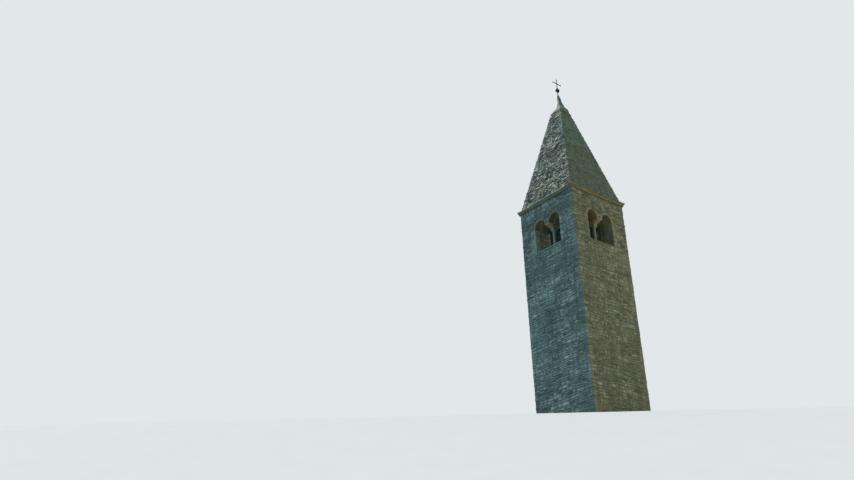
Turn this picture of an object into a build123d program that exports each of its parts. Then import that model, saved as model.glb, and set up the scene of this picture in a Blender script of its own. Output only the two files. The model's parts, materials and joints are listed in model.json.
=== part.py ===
from build123d import *
import os
from math import sin, cos, radians

# A slender stone bell tower: a plain square shaft of rubble masonry, a belfry with a twin
# arched window on each side, a thin projecting eave and a hollow stone spire with an iron cross.
# All sizes are in millimetres. The origin is the centre of the base, at ground level.

# Masonry shaft
wall_width = 4400
wall_thickness = 1050
wall_top = 13600
base_slab_thickness = 300

# Twin windows: two round-headed lights that share one column
sill_drop = 3080
springing_drop = 1465
light_radius = 425
impost_width = 365
impost_lip = 70
impost_height = 260
impost_seat_width = 250
impost_seat_depth = 300
capital_height = 190
capital_neck_height = 35
column_radius = 95
column_neck_radius = 112
base_block_side = 250
base_block_height = 90
base_torus_radius = 28

# Belfry floor
floor_drop = 900
deck_thickness = 50
deck_clearance = 8
beam_width = 200
beam_height = 240
beam_count = 3
beam_bearing = 250
pocket_clearance = 10

# Cornice course and eave slabs
cornice_height = 165
cornice_projection = 70
eave_projection = 150
eave_edge_thickness = 65
eave_height = 116

# Spire: four sloping faces, closed by a cap block with a rounded shoulder
spire_width = 4304
spire_apex_height = 8820
spire_shell = 450
spire_vent_width = 200
cap_block_height = 890
cap_round = 80

# Finial: mortar cone, metal sleeve, rod, ball and cross
cone_height = 745
cone_base_radius = 270
cone_waist_height = 340
cone_waist_radius = 188
sleeve_height = 340
sleeve_base_radius = 120
sleeve_top_radius = 68
rod_radius = 28
rod_stand = 22
bore_clearance = 0.3
ball_radius = 162
ball_lift = 445
cross_height = 740
cross_arm_height = 375
cross_arm_reach = 375
cross_bar_width = 60
cross_bar_thickness = 26
cross_knob_radius = 50

# Levels and half widths worked out from the sizes above
outer_half = wall_width / 2
inner_half = outer_half - wall_thickness
sill_level = wall_top - sill_drop
springing_level = wall_top - springing_drop
opening_half = 2 * light_radius + impost_width / 2
light_centre = light_radius + impost_width / 2
deck_top = sill_level - floor_drop
beam_top = deck_top - deck_thickness
beam_bottom = beam_top - beam_height
cornice_top = wall_top + cornice_height
spire_base = cornice_top + eave_height
spire_half = spire_width / 2
spire_slope = spire_half / spire_apex_height
shell_top_half = spire_shell + spire_vent_width / 2
shell_top = spire_base + (spire_half - shell_top_half) / spire_slope
cap_top = shell_top + cap_block_height
cone_top = cap_top + cone_height
ball_centre = cone_top + sleeve_height + ball_lift
rod_top = ball_centre + ball_radius + rod_stand
column_mid = outer_half - wall_thickness / 2
impost_bottom = springing_level - impost_height
capital_bottom = impost_bottom - capital_height

# Each side is named by the way it faces and turned about the tower's axis from the front
sides = {"front": 0, "right": 90, "back": 180, "left": 270}
full_width_sides = ("front", "back")


def wall_plane(turn, depth=0):
    """The upright plane of a wall face: x runs along the wall, y runs up and z faces outwards."""
    along = (cos(radians(turn)), sin(radians(turn)), 0)
    outward = (sin(radians(turn)), -cos(radians(turn)), 0)
    distance = outer_half - depth
    origin = (outward[0] * distance, outward[1] * distance, 0)
    return Plane(origin=origin, x_dir=along, z_dir=outward)


def wall_length(side):
    """The front and back walls run the full width and the other two stand between them."""
    if side in full_width_sides:
        return wall_width
    return wall_width - 2 * wall_thickness


def mitred_section(outer, inner):
    """The front quarter of a square ring, cut to mitres at both ends."""
    Polygon((-outer, -outer), (outer, -outer), (inner, -inner), (-inner, -inner), align=None)


def side_level(level, turn):
    """A level plane turned so that its front lies on the side wanted."""
    return Plane(origin=(0, 0, level), x_dir=(cos(radians(turn)), sin(radians(turn)), 0), z_dir=(0, 0, 1))


def save(piece, name):
    """Label a finished piece and write it to its own file."""
    piece.label = name
    export_step(piece, f"parts/{name}.step")


os.makedirs("parts", exist_ok=True)

# Base slab: the lowest stone course and the floor at ground level in one
with BuildPart() as base_slab:
    with BuildSketch():
        Rectangle(wall_width, wall_width)
    extrude(amount=base_slab_thickness)
save(base_slab.part, "base_slab")

# Shaft walls up to the window sills, with pockets for the floor beams in the left and right walls
beam_pitch = 2 * inner_half / beam_count
for side, turn in sides.items():
    with BuildPart() as shaft_wall:
        with BuildSketch(wall_plane(turn)):
            with Locations((0, base_slab_thickness)):
                shaft_height = sill_level - base_slab_thickness
                Rectangle(wall_length(side), shaft_height, align=(Align.CENTER, Align.MIN))
        extrude(amount=-wall_thickness)
        if side not in full_width_sides:
            with BuildSketch(wall_plane(turn, wall_thickness)):
                with Locations((0, beam_bottom)):
                    with GridLocations(beam_pitch, 0, beam_count, 1):
                        pocket_size = (beam_width + 2 * pocket_clearance, beam_height + pocket_clearance)
                        Rectangle(*pocket_size, align=(Align.CENTER, Align.MIN))
            extrude(amount=beam_bearing + pocket_clearance, mode=Mode.SUBTRACT)
    save(shaft_wall.part, f"shaft_{side}_wall")

# Belfry floor: three beams that rest in the wall pockets, and the deck that lies on them
with BuildPart() as belfry_floor_beams:
    with BuildSketch(Plane.XY.offset(beam_bottom)):
        with GridLocations(0, beam_pitch, 1, beam_count):
            Rectangle(2 * (inner_half + beam_bearing), beam_width)
    extrude(amount=beam_height)
save(belfry_floor_beams.part, "belfry_floor_beams")

with BuildPart() as belfry_floor_deck:
    with BuildSketch(Plane.XY.offset(beam_top)):
        deck_side = 2 * (inner_half - deck_clearance)
        Rectangle(deck_side, deck_side)
    extrude(amount=deck_thickness)
save(belfry_floor_deck.part, "belfry_floor_deck")

# Corner piers of the belfry, each an L on plan, from the sills to the springing of the arches
pier_corners = {"front_left": 0, "front_right": 90, "back_right": 180, "back_left": 270}
for corner, turn in pier_corners.items():
    with BuildPart() as pier:
        with BuildSketch(side_level(sill_level, turn)):
            Polygon(
                (-outer_half, -outer_half),
                (-opening_half, -outer_half),
                (-opening_half, -inner_half),
                (-inner_half, -inner_half),
                (-inner_half, -opening_half),
                (-outer_half, -opening_half),
                align=None,
            )
        extrude(amount=springing_level - sill_level)
    save(pier.part, f"belfry_{corner}_pier")

# Arch walls: the masonry over each twin window, with both round arches cut through it
for side, turn in sides.items():
    with BuildPart() as arch_wall:
        with BuildSketch(wall_plane(turn)):
            with Locations((0, springing_level)):
                Rectangle(wall_length(side), springing_drop, align=(Align.CENTER, Align.MIN))
                with Locations((-light_centre, 0), (light_centre, 0)):
                    Circle(light_radius, mode=Mode.SUBTRACT)
        extrude(amount=-wall_thickness)
    save(arch_wall.part, f"belfry_{side}_arch_wall")

# Impost of each window: a crutch-shaped block as deep as the wall that narrows to the capital
for side, turn in sides.items():
    mid_plane = wall_plane(turn, wall_thickness / 2)
    cross_plane = Plane(origin=mid_plane.origin, x_dir=mid_plane.z_dir, z_dir=-mid_plane.x_dir)
    with BuildPart() as impost:
        with BuildSketch(mid_plane):
            Polygon(
                (-impost_width / 2, springing_level),
                (-impost_width / 2, springing_level - impost_lip),
                (-impost_seat_width / 2, impost_bottom),
                (impost_seat_width / 2, impost_bottom),
                (impost_width / 2, springing_level - impost_lip),
                (impost_width / 2, springing_level),
                align=None,
            )
        extrude(amount=wall_thickness / 2, both=True)
        with BuildSketch(cross_plane):
            Polygon(
                (-wall_thickness / 2, springing_level),
                (-wall_thickness / 2, springing_level - impost_lip),
                (-impost_seat_depth / 2, impost_bottom),
                (impost_seat_depth / 2, impost_bottom),
                (wall_thickness / 2, springing_level - impost_lip),
                (wall_thickness / 2, springing_level),
                align=None,
            )
        extrude(amount=impost_width, both=True, mode=Mode.INTERSECT)
    save(impost.part, f"{side}_window_impost")

# Capital of each window: a ring at the neck, then a block that spreads from round to rectangular
for side, turn in sides.items():
    column_place = side_level(0, turn).offset(capital_bottom)
    neck_plane = column_place.shift_origin(column_place.from_local_coords((0, -column_mid, 0)))
    with BuildPart() as capital:
        with BuildSketch(neck_plane):
            Circle(column_neck_radius)
        extrude(amount=capital_neck_height)
        with BuildSketch(neck_plane.offset(capital_neck_height)):
            Circle(column_neck_radius)
        with BuildSketch(neck_plane.offset(capital_height)):
            Rectangle(impost_seat_width, impost_seat_depth)
        loft()
    save(capital.part, f"{side}_window_capital")

# Column of each window: a square base block, a rounded base ring and a plain round shaft
for side, turn in sides.items():
    sill_plane = side_level(sill_level, turn)
    foot_plane = sill_plane.shift_origin(sill_plane.from_local_coords((0, -column_mid, 0)))
    ring_height = base_block_height + base_torus_radius
    with BuildPart() as column:
        with BuildSketch(foot_plane):
            Rectangle(base_block_side, base_block_side)
        extrude(amount=base_block_height)
        with BuildSketch(foot_plane.offset(base_block_height)):
            Circle(column_radius)
        extrude(amount=capital_bottom - sill_level - base_block_height)
        profile_plane = Plane(origin=foot_plane.origin, x_dir=foot_plane.x_dir, z_dir=-foot_plane.y_dir)
        with BuildSketch(profile_plane):
            with Locations((column_radius / 2, ring_height)):
                Rectangle(column_radius, 2 * base_torus_radius)
            with Locations((column_radius, ring_height)):
                Circle(base_torus_radius)
            with Locations((-base_torus_radius, ring_height)):
                Rectangle(2 * base_torus_radius, 4 * base_torus_radius, mode=Mode.SUBTRACT)
        revolve(axis=Axis(foot_plane.origin, (0, 0, 1)))
    save(column.part, f"{side}_window_column")

# Cornice course on the wall top, and the thin eave slabs that lie on it and slope up to the spire
for side, turn in sides.items():
    with BuildPart() as cornice:
        with BuildSketch(side_level(wall_top, turn)):
            mitred_section(outer_half + cornice_projection, inner_half)
        extrude(amount=cornice_height)
    save(cornice.part, f"{side}_cornice_course")

    eave_half = outer_half + eave_projection
    with BuildPart() as eave:
        with BuildSketch(side_level(cornice_top, turn)):
            mitred_section(eave_half, inner_half)
        extrude(amount=eave_edge_thickness)
        with BuildSketch(side_level(cornice_top + eave_edge_thickness, turn)):
            mitred_section(eave_half, inner_half)
        with BuildSketch(side_level(spire_base, turn)):
            mitred_section(spire_half, inner_half)
        loft(ruled=True)
    save(eave.part, f"{side}_eave_slabs")

# Spire faces: four sloping walls of one thickness that meet at the hips
for side, turn in sides.items():
    with BuildPart() as spire_face:
        with BuildSketch(side_level(spire_base, turn)):
            mitred_section(spire_half, spire_half - spire_shell)
        with BuildSketch(side_level(shell_top, turn)):
            mitred_section(shell_top_half, shell_top_half - spire_shell)
        loft(ruled=True)
    save(spire_face.part, f"spire_{side}_face")

# Cap block: closes the spire and rounds off to the foot of the mortar cone
with BuildPart() as cap_block:
    with BuildSketch(Plane.XY.offset(shell_top)):
        Rectangle(2 * shell_top_half, 2 * shell_top_half)
    with BuildSketch(Plane.XY.offset(cap_top)):
        cap_top_side = 2 * (shell_top_half - cap_block_height * spire_slope)
        Rectangle(cap_top_side, cap_top_side)
    loft(ruled=True)
    top_edges = cap_block.faces().sort_by(Axis.Z)[-1].edges()
    fillet(top_edges, radius=cap_round)
save(cap_block.part, "spire_cap_block")

# Mortar cone: a hollow-sided cone that sheds water from the foot of the finial
with BuildPart() as mortar_cone:
    with BuildSketch(Plane.XZ):
        with BuildLine():
            foot = (cone_base_radius, cap_top)
            waist = (cone_waist_radius, cap_top + cone_waist_height)
            tip = (sleeve_base_radius, cone_top)
            ThreePointArc(foot, waist, tip)
            Polyline(tip, (0, cone_top), (0, cap_top), foot)
        make_face()
    revolve(axis=Axis.Z)
save(mortar_cone.part, "mortar_cone")

# Metal sleeve round the foot of the rod
with BuildPart() as metal_sleeve:
    with BuildSketch(Plane.XY.offset(cone_top)):
        Circle(sleeve_base_radius)
    with BuildSketch(Plane.XY.offset(cone_top + sleeve_height)):
        Circle(sleeve_top_radius)
    loft()
    with BuildSketch(Plane.XY.offset(cone_top)):
        Circle(rod_radius + bore_clearance)
    extrude(amount=sleeve_height, mode=Mode.SUBTRACT)
save(metal_sleeve.part, "finial_sleeve")

# Rod: stands on the mortar cone, runs through the sleeve and the ball and carries the cross
with BuildPart() as finial_rod:
    with BuildSketch(Plane.XY.offset(cone_top)):
        Circle(rod_radius)
    extrude(amount=rod_top - cone_top)
save(finial_rod.part, "finial_rod")

# Ball threaded on the rod
with BuildPart() as finial_ball:
    with Locations((0, 0, ball_centre)):
        Sphere(ball_radius)
    with BuildSketch(Plane.XY.offset(ball_centre - ball_radius)):
        Circle(rod_radius + bore_clearance)
    extrude(amount=2 * ball_radius, mode=Mode.SUBTRACT)
save(finial_ball.part, "finial_ball")

# Cross: flat iron bars, with a round knob at the three free ends
with BuildPart() as cross:
    with BuildSketch(Plane.XZ):
        with Locations((0, rod_top)):
            bar_length = cross_height - cross_knob_radius
            Rectangle(cross_bar_width, bar_length, align=(Align.CENTER, Align.MIN))
        with Locations((0, rod_top + cross_arm_height)):
            knob_reach = cross_arm_reach - cross_knob_radius
            Rectangle(2 * knob_reach, cross_bar_width)
            with Locations((-knob_reach, 0), (knob_reach, 0)):
                Circle(cross_knob_radius)
        with Locations((0, rod_top + cross_height - cross_knob_radius)):
            Circle(cross_knob_radius)
    extrude(amount=cross_bar_thickness / 2, both=True)
save(cross.part, "cross")
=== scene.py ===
"""Dresses the stone bell tower: coursed rubble walls, twin windows, slab spire and iron finial."""

import json
import logging
import math
from contextlib import contextmanager
from dataclasses import dataclass
from enum import Enum
from itertools import pairwise
from typing import Callable, ClassVar, Iterator, Sequence

import bmesh
import bpy
import numpy as np
from mathutils import Matrix, Vector, noise


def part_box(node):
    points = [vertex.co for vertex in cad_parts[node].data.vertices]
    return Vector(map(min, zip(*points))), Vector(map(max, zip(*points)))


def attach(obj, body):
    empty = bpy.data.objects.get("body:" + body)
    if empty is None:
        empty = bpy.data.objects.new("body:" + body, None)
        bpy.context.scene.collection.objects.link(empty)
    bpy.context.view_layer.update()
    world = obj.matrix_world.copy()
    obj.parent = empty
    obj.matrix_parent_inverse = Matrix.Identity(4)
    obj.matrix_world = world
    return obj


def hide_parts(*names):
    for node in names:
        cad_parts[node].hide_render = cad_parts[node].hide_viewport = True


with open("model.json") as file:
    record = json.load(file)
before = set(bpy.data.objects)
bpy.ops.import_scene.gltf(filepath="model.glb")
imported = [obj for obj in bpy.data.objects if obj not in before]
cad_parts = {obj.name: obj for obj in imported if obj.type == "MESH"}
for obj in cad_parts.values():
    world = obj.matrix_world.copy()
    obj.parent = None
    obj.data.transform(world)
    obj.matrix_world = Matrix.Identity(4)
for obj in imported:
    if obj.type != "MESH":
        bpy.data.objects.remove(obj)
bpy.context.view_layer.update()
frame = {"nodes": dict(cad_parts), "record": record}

log = logging.getLogger("bell_tower")

Color = tuple[float, float, float]
Pair = tuple[float, float]
Place = Callable[[np.ndarray], np.ndarray]
Piece = bpy.types.Object
Material = bpy.types.Material
UP = np.array((0.0, 0.0, 1.0))


class Side(Enum):
    """The four sides of the tower, each with its quarter turns from the front."""

    FRONT = 0
    RIGHT = 1
    BACK = 2
    LEFT = 3

    @property
    def label(self) -> str:
        """The side's name as the CAD nodes spell it."""
        return self.name.lower()

    @property
    def along(self) -> np.ndarray:
        """The direction that runs along the side, from its left end to its right end."""
        return np.array(((1, 0, 0), (0, 1, 0), (-1, 0, 0), (0, -1, 0))[self.value], float)

    @property
    def outward(self) -> np.ndarray:
        """The direction that the side faces."""
        return np.array(((0, -1, 0), (1, 0, 0), (0, 1, 0), (-1, 0, 0))[self.value], float)

    @property
    def turn(self) -> Matrix:
        """The turn about the tower's axis that takes the front to this side."""
        return Matrix.Rotation(math.radians(90 * self.value), 4, "Z")

    @property
    def corner(self) -> str:
        """The name of the corner at the side's left end."""
        return ("front_left", "front_right", "back_right", "back_left")[self.value]


RAGGED_SIDES = (Side.LEFT, Side.BACK)
FAR_SIDES = (Side.RIGHT, Side.BACK)


def linear(color: Color) -> Color:
    """Turns a screen colour, whose channels go from 0 to 255, into the linear one that shaders use."""
    scaled = (channel / 255 for channel in color)
    return tuple(c / 12.92 if c <= 0.04045 else ((c + 0.055) / 1.055) ** 2.4 for c in scaled)


# Shader maths


class Value:
    """A node's output, on which Python's arithmetic adds Math nodes."""

    def __init__(self, tree: "NodeTree", socket: bpy.types.NodeSocket | None) -> None:
        """Keeps the socket and the tree that it belongs to."""
        self.tree = tree
        self.socket = socket

    def _math(self, operation: str, *values: "Value | float") -> "Value":
        """Adds one Math node on these values."""
        return self.tree.node("ShaderNodeMath", {"operation": operation}, dict(enumerate(values)))

    def __add__(self, other: "Value | float") -> "Value":
        """Adds two values."""
        return self._math("ADD", self, other)

    def __sub__(self, other: "Value | float") -> "Value":
        """Takes the other value from this one."""
        return self._math("SUBTRACT", self, other)

    def __rsub__(self, other: float) -> "Value":
        """Takes this value from a number."""
        return self._math("SUBTRACT", other, self)

    def __mul__(self, other: "Value | float") -> "Value":
        """Multiplies two values."""
        return self._math("MULTIPLY", self, other)

    __radd__ = __add__
    __rmul__ = __mul__

    def highest(self, other: "Value | float") -> "Value":
        """Gives the higher of two values."""
        return self._math("MAXIMUM", self, other)

    def over(self, edge: float, softness: float) -> "Value":
        """Gives 0 below the edge and 1 above it.

        Args:
            edge: the value halfway up the step.
            softness: the width of the step.

        Returns:
            The step as a value from 0 to 1.
        """
        settings = {"interpolation_type": "SMOOTHSTEP", "clamp": True}
        limits = {"Value": self, "From Min": edge - softness / 2, "From Max": edge + softness / 2}
        return self.tree.node("ShaderNodeMapRange", settings, limits)


class NodeTree:
    """The nodes of a material or of the world."""

    def __init__(self, owner: Material | bpy.types.World) -> None:
        """Starts with no nodes.

        Args:
            owner: the material or the world.
        """
        owner.use_nodes = True
        self.tree = owner.node_tree
        self.tree.nodes.clear()

    def node(
        self,
        kind: str,
        settings: dict | None = None,
        inputs: dict | None = None,
        output: int | str = 0,
    ) -> Value:
        """Adds any node: its settings first, then its inputs.

        Args:
            kind: the node's type.
            settings: attributes of the node; "stops" gives a ramp's positions and screen colours.
            inputs: a number, screen colour, list or Value for each input, by name or number.
            output: the output to hand on.

        Returns:
            That output as a Value, which is empty for a node that has none.
        """
        made = self.tree.nodes.new(kind)
        for key, setting in (settings or {}).items():
            if key == "stops":
                for _ in setting[2:]:
                    made.color_ramp.elements.new(0.5)
                for element, (position, color) in zip(made.color_ramp.elements, setting):
                    element.position = position
                    element.color = (*linear(color), 1)
            else:
                setattr(made, key, setting)
        for key, given in (inputs or {}).items():
            if isinstance(given, Value):
                self.tree.links.new(given.socket, made.inputs[key])
            elif isinstance(given, tuple) and made.inputs[key].type == "RGBA":
                made.inputs[key].default_value = (*linear(given), 1)
            else:
                made.inputs[key].default_value = given
        return Value(self, made.outputs[output] if made.outputs else None)


class Shader(NodeTree):
    """One material, with the few kinds of node that the finishes share."""

    def __init__(self, name: str) -> None:
        """Starts a material and its coordinates."""
        self.material = bpy.data.materials.new(name)
        super().__init__(self.material)
        self.place = self.node("ShaderNodeTexCoord", output="Object")

    def attribute(self, name: str) -> Value:
        """Reads a number that each stone or tile carries."""
        return self.node("ShaderNodeAttribute", {"attribute_name": name}, output="Fac")

    def stretched(self, scale: tuple[float, float, float]) -> Value:
        """Gives the object's coordinates, scaled along each axis."""
        inputs = {"Vector": self.place, "Scale": scale}
        return self.node("ShaderNodeMapping", {"vector_type": "POINT"}, inputs)

    def noise(
        self, scale: float, detail: float = 4, roughness: float = 0.55, place: Value | None = None
    ) -> Value:
        """Adds a soft noise.

        Args:
            scale: the number of blotches in a metre.
            detail: how many finer layers it has.
            roughness: how strong the finer layers are.
            place: the coordinates, if not the object's own.

        Returns:
            The noise, from 0 to 1.
        """
        inputs = {"Vector": place or self.place, "Scale": scale, "Detail": detail, "Roughness": roughness}
        return self.node("ShaderNodeTexNoise", {"noise_dimensions": "3D"}, inputs)

    def cells(self, scale: float, feature: str, output: str) -> Value:
        """Adds a cell pattern with that many cells in a metre."""
        inputs = {"Vector": self.place, "Scale": scale}
        return self.node("ShaderNodeTexVoronoi", {"feature": feature}, inputs, output)

    def reach(self) -> tuple[Value, Value, Value]:
        """Gives how far a point lies out to the front, to the left, and to the back or right."""
        x, y = (self.node("ShaderNodeSeparateXYZ", None, {"Vector": self.place}, axis) for axis in "XY")
        return 0 - y, 0 - x, x.highest(y)

    def sunny(self) -> Value:
        """Gives 1 on the front of the tower, 0 on its left side, and halfway on the other two."""
        front, left, other = self.reach()
        shown = (front - left).over(0.0, 0.03)
        return shown + (other - front.highest(left)).over(0.0, 0.03) * (0.5 - shown)

    def ramp(self, factor: Value, colors: Sequence[Color]) -> Value:
        """Spreads colours evenly over a value from 0 to 1."""
        stops = [(index / (len(colors) - 1), color) for index, color in enumerate(colors)]
        return self.node("ShaderNodeValToRGB", {"stops": stops}, {"Fac": factor})

    def mix(self, factor: Value, first: Value | Color, second: Value | Color) -> Value:
        """Mixes two colours."""
        return self.node("ShaderNodeMix", {"data_type": "RGBA"}, {0: factor, 6: first, 7: second}, 2)

    def shaded(self, color: Value, strength: Value) -> Value:
        """Makes a colour lighter or darker by a value."""
        return self.node("ShaderNodeVectorMath", {"operation": "SCALE"}, {0: color, "Scale": strength})

    def finish(
        self,
        color: Value,
        roughness: Value,
        relief: Value,
        depth: float,
        metallic: float = 0.0,
        specular: float = 0.3,
    ) -> Material:
        """Closes the material with one principled shader.

        Args:
            color: the base colour.
            roughness: the roughness.
            relief: the height of the surface, from 0 to 1.
            depth: how deep the relief is, in metres.
            metallic: 1 for bare metal.
            specular: the strength of the plain reflection.

        Returns:
            The finished material.
        """
        bump = self.node("ShaderNodeBump", None, {"Height": relief, "Distance": depth, "Strength": 1.0})
        surface = {
            "Base Color": color,
            "Roughness": roughness,
            "Normal": bump,
            "Metallic": metallic,
            "Specular IOR Level": specular,
        }
        shader = self.node("ShaderNodeBsdfPrincipled", None, surface)
        self.node("ShaderNodeOutputMaterial", None, {"Surface": shader})
        return self.material


# Finishes


@dataclass(frozen=True)
class Weather:
    """The colours of one kind of stone on one side of the tower, with that side's light and shade painted
    into them.
    """

    palette: tuple[Color, ...]
    lichen: Color
    stain: Color
    mortar: Color


@dataclass(frozen=True)
class StoneFinish:
    """Weathered stone in which each block has its own shade, with bedding, pits, stains and lichen.

    The left side and the front carry different painted light and shade, and the hidden sides are between the
    two.
    Old pointing mortar is smeared over the stones in patches. The corner between left and front is a
    little darker, from where a point's reach to the front and left adds up to more than a length.
    """

    name: str
    left: Weather
    front: Weather
    lichen_edge: float = 0.62
    smear: float = 0.6
    clouding: float = 1.3
    front_calm: float = 0.9
    corner_from: float = 1000.0
    corner_width: float = 1.6
    corner_shade: float = 0.1
    relief: float = 0.012

    def build(self) -> Material:
        """Makes the material.

        Returns:
            The material.
        """
        shader = Shader(self.name)
        mottle = shader.noise(9, 6, 0.68)
        blotch = shader.noise(2.3, 4, 0.6)
        grain = shader.noise(85, 3, 0.6)
        bedding = shader.noise(7, 4, 0.6, shader.stretched((1.0, 1.0, 6.0)))
        streak = shader.noise(1.7, 3, 0.6, shader.stretched((2.2, 2.2, 0.3)))
        pits = shader.cells(34, "F1", "Distance")
        tint = shader.attribute("tint")
        rim = shader.attribute("rim")
        pointed = shader.noise(1.3, 5, 0.7, shader.stretched((1.0, 1.0, 1.8)))
        sunny = shader.sunny()
        # Painted light: stone, mortar, stain and lichen colours are mixed between the left side's painted
        # light and shade and the front's.
        one, other = self.left, self.front
        color = shader.mix(sunny, shader.ramp(tint, one.palette), shader.ramp(tint, other.palette))
        light = 0.66 + mottle * 0.42 + (bedding - 0.5) * 0.34 + (grain - 0.5) * 0.22
        smear = (pointed * 0.6 + mottle * 0.28 + rim * 0.2).over(0.58, 0.14) * self.smear
        color = shader.mix(smear, color, shader.mix(sunny, one.mortar, other.mortar))
        cloud = shader.noise(0.8, 2, 0.5)
        front, left, _ = shader.reach()
        light = light * (1 - (front + left).over(self.corner_from, self.corner_width) * self.corner_shade)
        clouds = (cloud - 0.5) * (self.clouding - sunny * self.front_calm)
        color = shader.shaded(color, light * (1 + clouds))
        soiled = streak.over(0.56, 0.2) * 0.42 + rim * (1 - smear) * mottle * 0.7
        color = shader.mix(soiled, color, shader.mix(sunny, one.stain, other.stain))
        patch = (blotch * 0.6 + mottle * 0.4).over(self.lichen_edge, 0.12)
        color = shader.mix(patch * 0.6, color, shader.mix(sunny, one.lichen, other.lichen))
        relief = mottle * 0.5 + bedding * 0.3 + grain * 0.12 + pits * 0.2
        return shader.finish(color, 0.8 + mottle * 0.16, relief, self.relief)


@dataclass(frozen=True)
class MortarFinish:
    """Lime mortar with sand grains, damp patches and the faces of small stones showing in it."""

    name: str
    left: tuple[Color, Color]
    front: tuple[Color, Color]
    stone: Color
    stone_share: float = 0.6
    inner_reach: float = 0.0
    stained_from: float = 1000.0
    stain: Color = (0.0, 0.0, 0.0)
    indoors: Color = (0.0, 0.0, 0.0)

    def build(self) -> Material:
        """Makes the material.

        The left and front colours differ by their painted light and shade. Faces nearer the axis than the
        inner reach face inwards and are mixed towards a painted bluish light, and above a level the front
        turns blue-grey.

        Returns:
            The material.
        """
        shader = Shader(self.name)
        damp = shader.noise(1.4, 5, 0.6)
        lumps = shader.noise(11, 5, 0.62)
        sand = shader.noise(120, 2, 0.6)
        edge = shader.cells(5.5, "DISTANCE_TO_EDGE", "Distance")
        shade = shader.cells(5.5, "F1", "Color")
        face = (edge + (lumps - 0.5) * 0.12).over(0.09, 0.05) * self.stone_share
        sunny = shader.sunny()
        # Painted light: the left and front pairs differ by the light and shade painted into them.
        pale, dark = (shader.mix(sunny, one, other) for one, other in zip(self.left, self.front))
        color = shader.mix(damp.over(0.5, 0.3), pale, dark)
        color = shader.shaded(color, 0.72 + lumps * 0.4 + (sand - 0.5) * 0.3)
        tone = shader.node("ShaderNodeSeparateColor", None, {"Color": shade}, "Red")
        color = shader.mix(face, color, shader.shaded(shader.mix(damp, self.stone, pale), 0.7 + tone * 0.5))
        front, left, other = shader.reach()
        # Painted light: faces inside the walls are mixed towards a bluish light colour.
        outdoors = front.highest(left).highest(other).over(self.inner_reach, 0.06)
        color = shader.mix((1 - outdoors) * 0.7, color, self.indoors)
        # Above a level the front is mixed towards the blue-grey colour given as stain.
        height = shader.node("ShaderNodeSeparateXYZ", None, {"Vector": shader.place}, "Z")
        color = shader.mix(height.over(self.stained_from, 0.14) * sunny * 0.75, color, self.stain)
        relief = lumps * 0.4 + sand * 0.08 + face * 0.6
        return shader.finish(color, 0.88 + lumps * 0.1, relief, 0.014, specular=0.2)


@dataclass(frozen=True)
class TileFinish:
    """Flat fired tiles, orange to brown, with grey weathering, painted cool shade on the left side, and pale
    lime run over them.
    """

    name: str
    palette: tuple[Color, ...]
    weather: Color
    lime: Color

    def build(self) -> Material:
        """Makes the material.

        Returns:
            The material.
        """
        shader = Shader(self.name)
        burn = shader.noise(14, 5, 0.65)
        crust = shader.noise(4, 4, 0.6)
        sand = shader.noise(110, 2, 0.6)
        color = shader.ramp(shader.attribute("tint"), self.palette)
        color = shader.shaded(color, 0.68 + burn * 0.5 + (sand - 0.5) * 0.2)
        # Painted shade: tiles on the left side are mixed mostly towards the cool grey colour; the crust
        # noise adds real weathering.
        grey = 1 - shader.sunny() * 0.9
        color = shader.mix(crust.over(0.52, 0.2) * 0.25 + grey * 0.72, color, self.weather)
        color = shader.mix((burn * 0.5 + crust * 0.5).over(0.6, 0.08) * 0.5, color, self.lime)
        return shader.finish(color, 0.82 + burn * 0.14, burn * 0.6 + sand * 0.2, 0.006)


@dataclass(frozen=True)
class TimberFinish:
    """Old sawn timber, with its grain along the beam or board and dark checks."""

    name: str
    light: Color
    dark: Color
    grain: tuple[float, float, float] = (0.8, 14.0, 14.0)

    def build(self) -> Material:
        """Makes the material.

        Returns:
            The material.
        """
        shader = Shader(self.name)
        fibre = shader.noise(5, 6, 0.65, shader.stretched(self.grain))
        check = shader.noise(9, 2, 0.5, shader.stretched(self.grain))
        age = shader.noise(2.5, 4, 0.6)
        color = shader.mix(fibre * 0.8 + age * 0.3, self.dark, self.light)
        split = check.over(0.66, 0.05)
        color = shader.mix(split * 0.7, color, self.dark)
        return shader.finish(color, 0.7 + fibre * 0.2, fibre * 0.6 - split * 0.6, 0.004)


@dataclass(frozen=True)
class MetalFinish:
    """Dark weathered metal with a skin of rust or a dull bloom in patches."""

    name: str
    base: Color
    bloom: Color
    bloom_edge: float
    metallic: float

    def build(self) -> Material:
        """Makes the material.

        Returns:
            The material.
        """
        shader = Shader(self.name)
        skin = shader.noise(16, 6, 0.68)
        run = shader.noise(9, 4, 0.6, shader.stretched((1.0, 1.0, 0.25)))
        fine = shader.noise(140, 3, 0.6)
        patch = (skin * 0.6 + run * 0.4).over(self.bloom_edge, 0.14)
        color = shader.mix(patch * 0.85, self.base, self.bloom)
        color = shader.shaded(color, 0.75 + skin * 0.5)
        rough = 0.48 + patch * 0.34 + fine * 0.08
        relief = skin * 0.5 + fine * 0.25
        return shader.finish(color, rough, relief, 0.0025, metallic=self.metallic, specular=0.4)


@dataclass(frozen=True)
class StageFinish:
    """The plain pale floor that carries the tower."""

    name: str
    color: Color

    def build(self) -> Material:
        """Makes the material.

        Returns:
            The material.
        """
        shader = Shader(self.name)
        dust = shader.noise(0.8, 3, 0.5)
        color = shader.shaded(linear(self.color), 0.97 + dust * 0.06)
        return shader.finish(color, 0.9 + dust * 0.05, dust, 0.001, specular=0.1)


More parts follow.
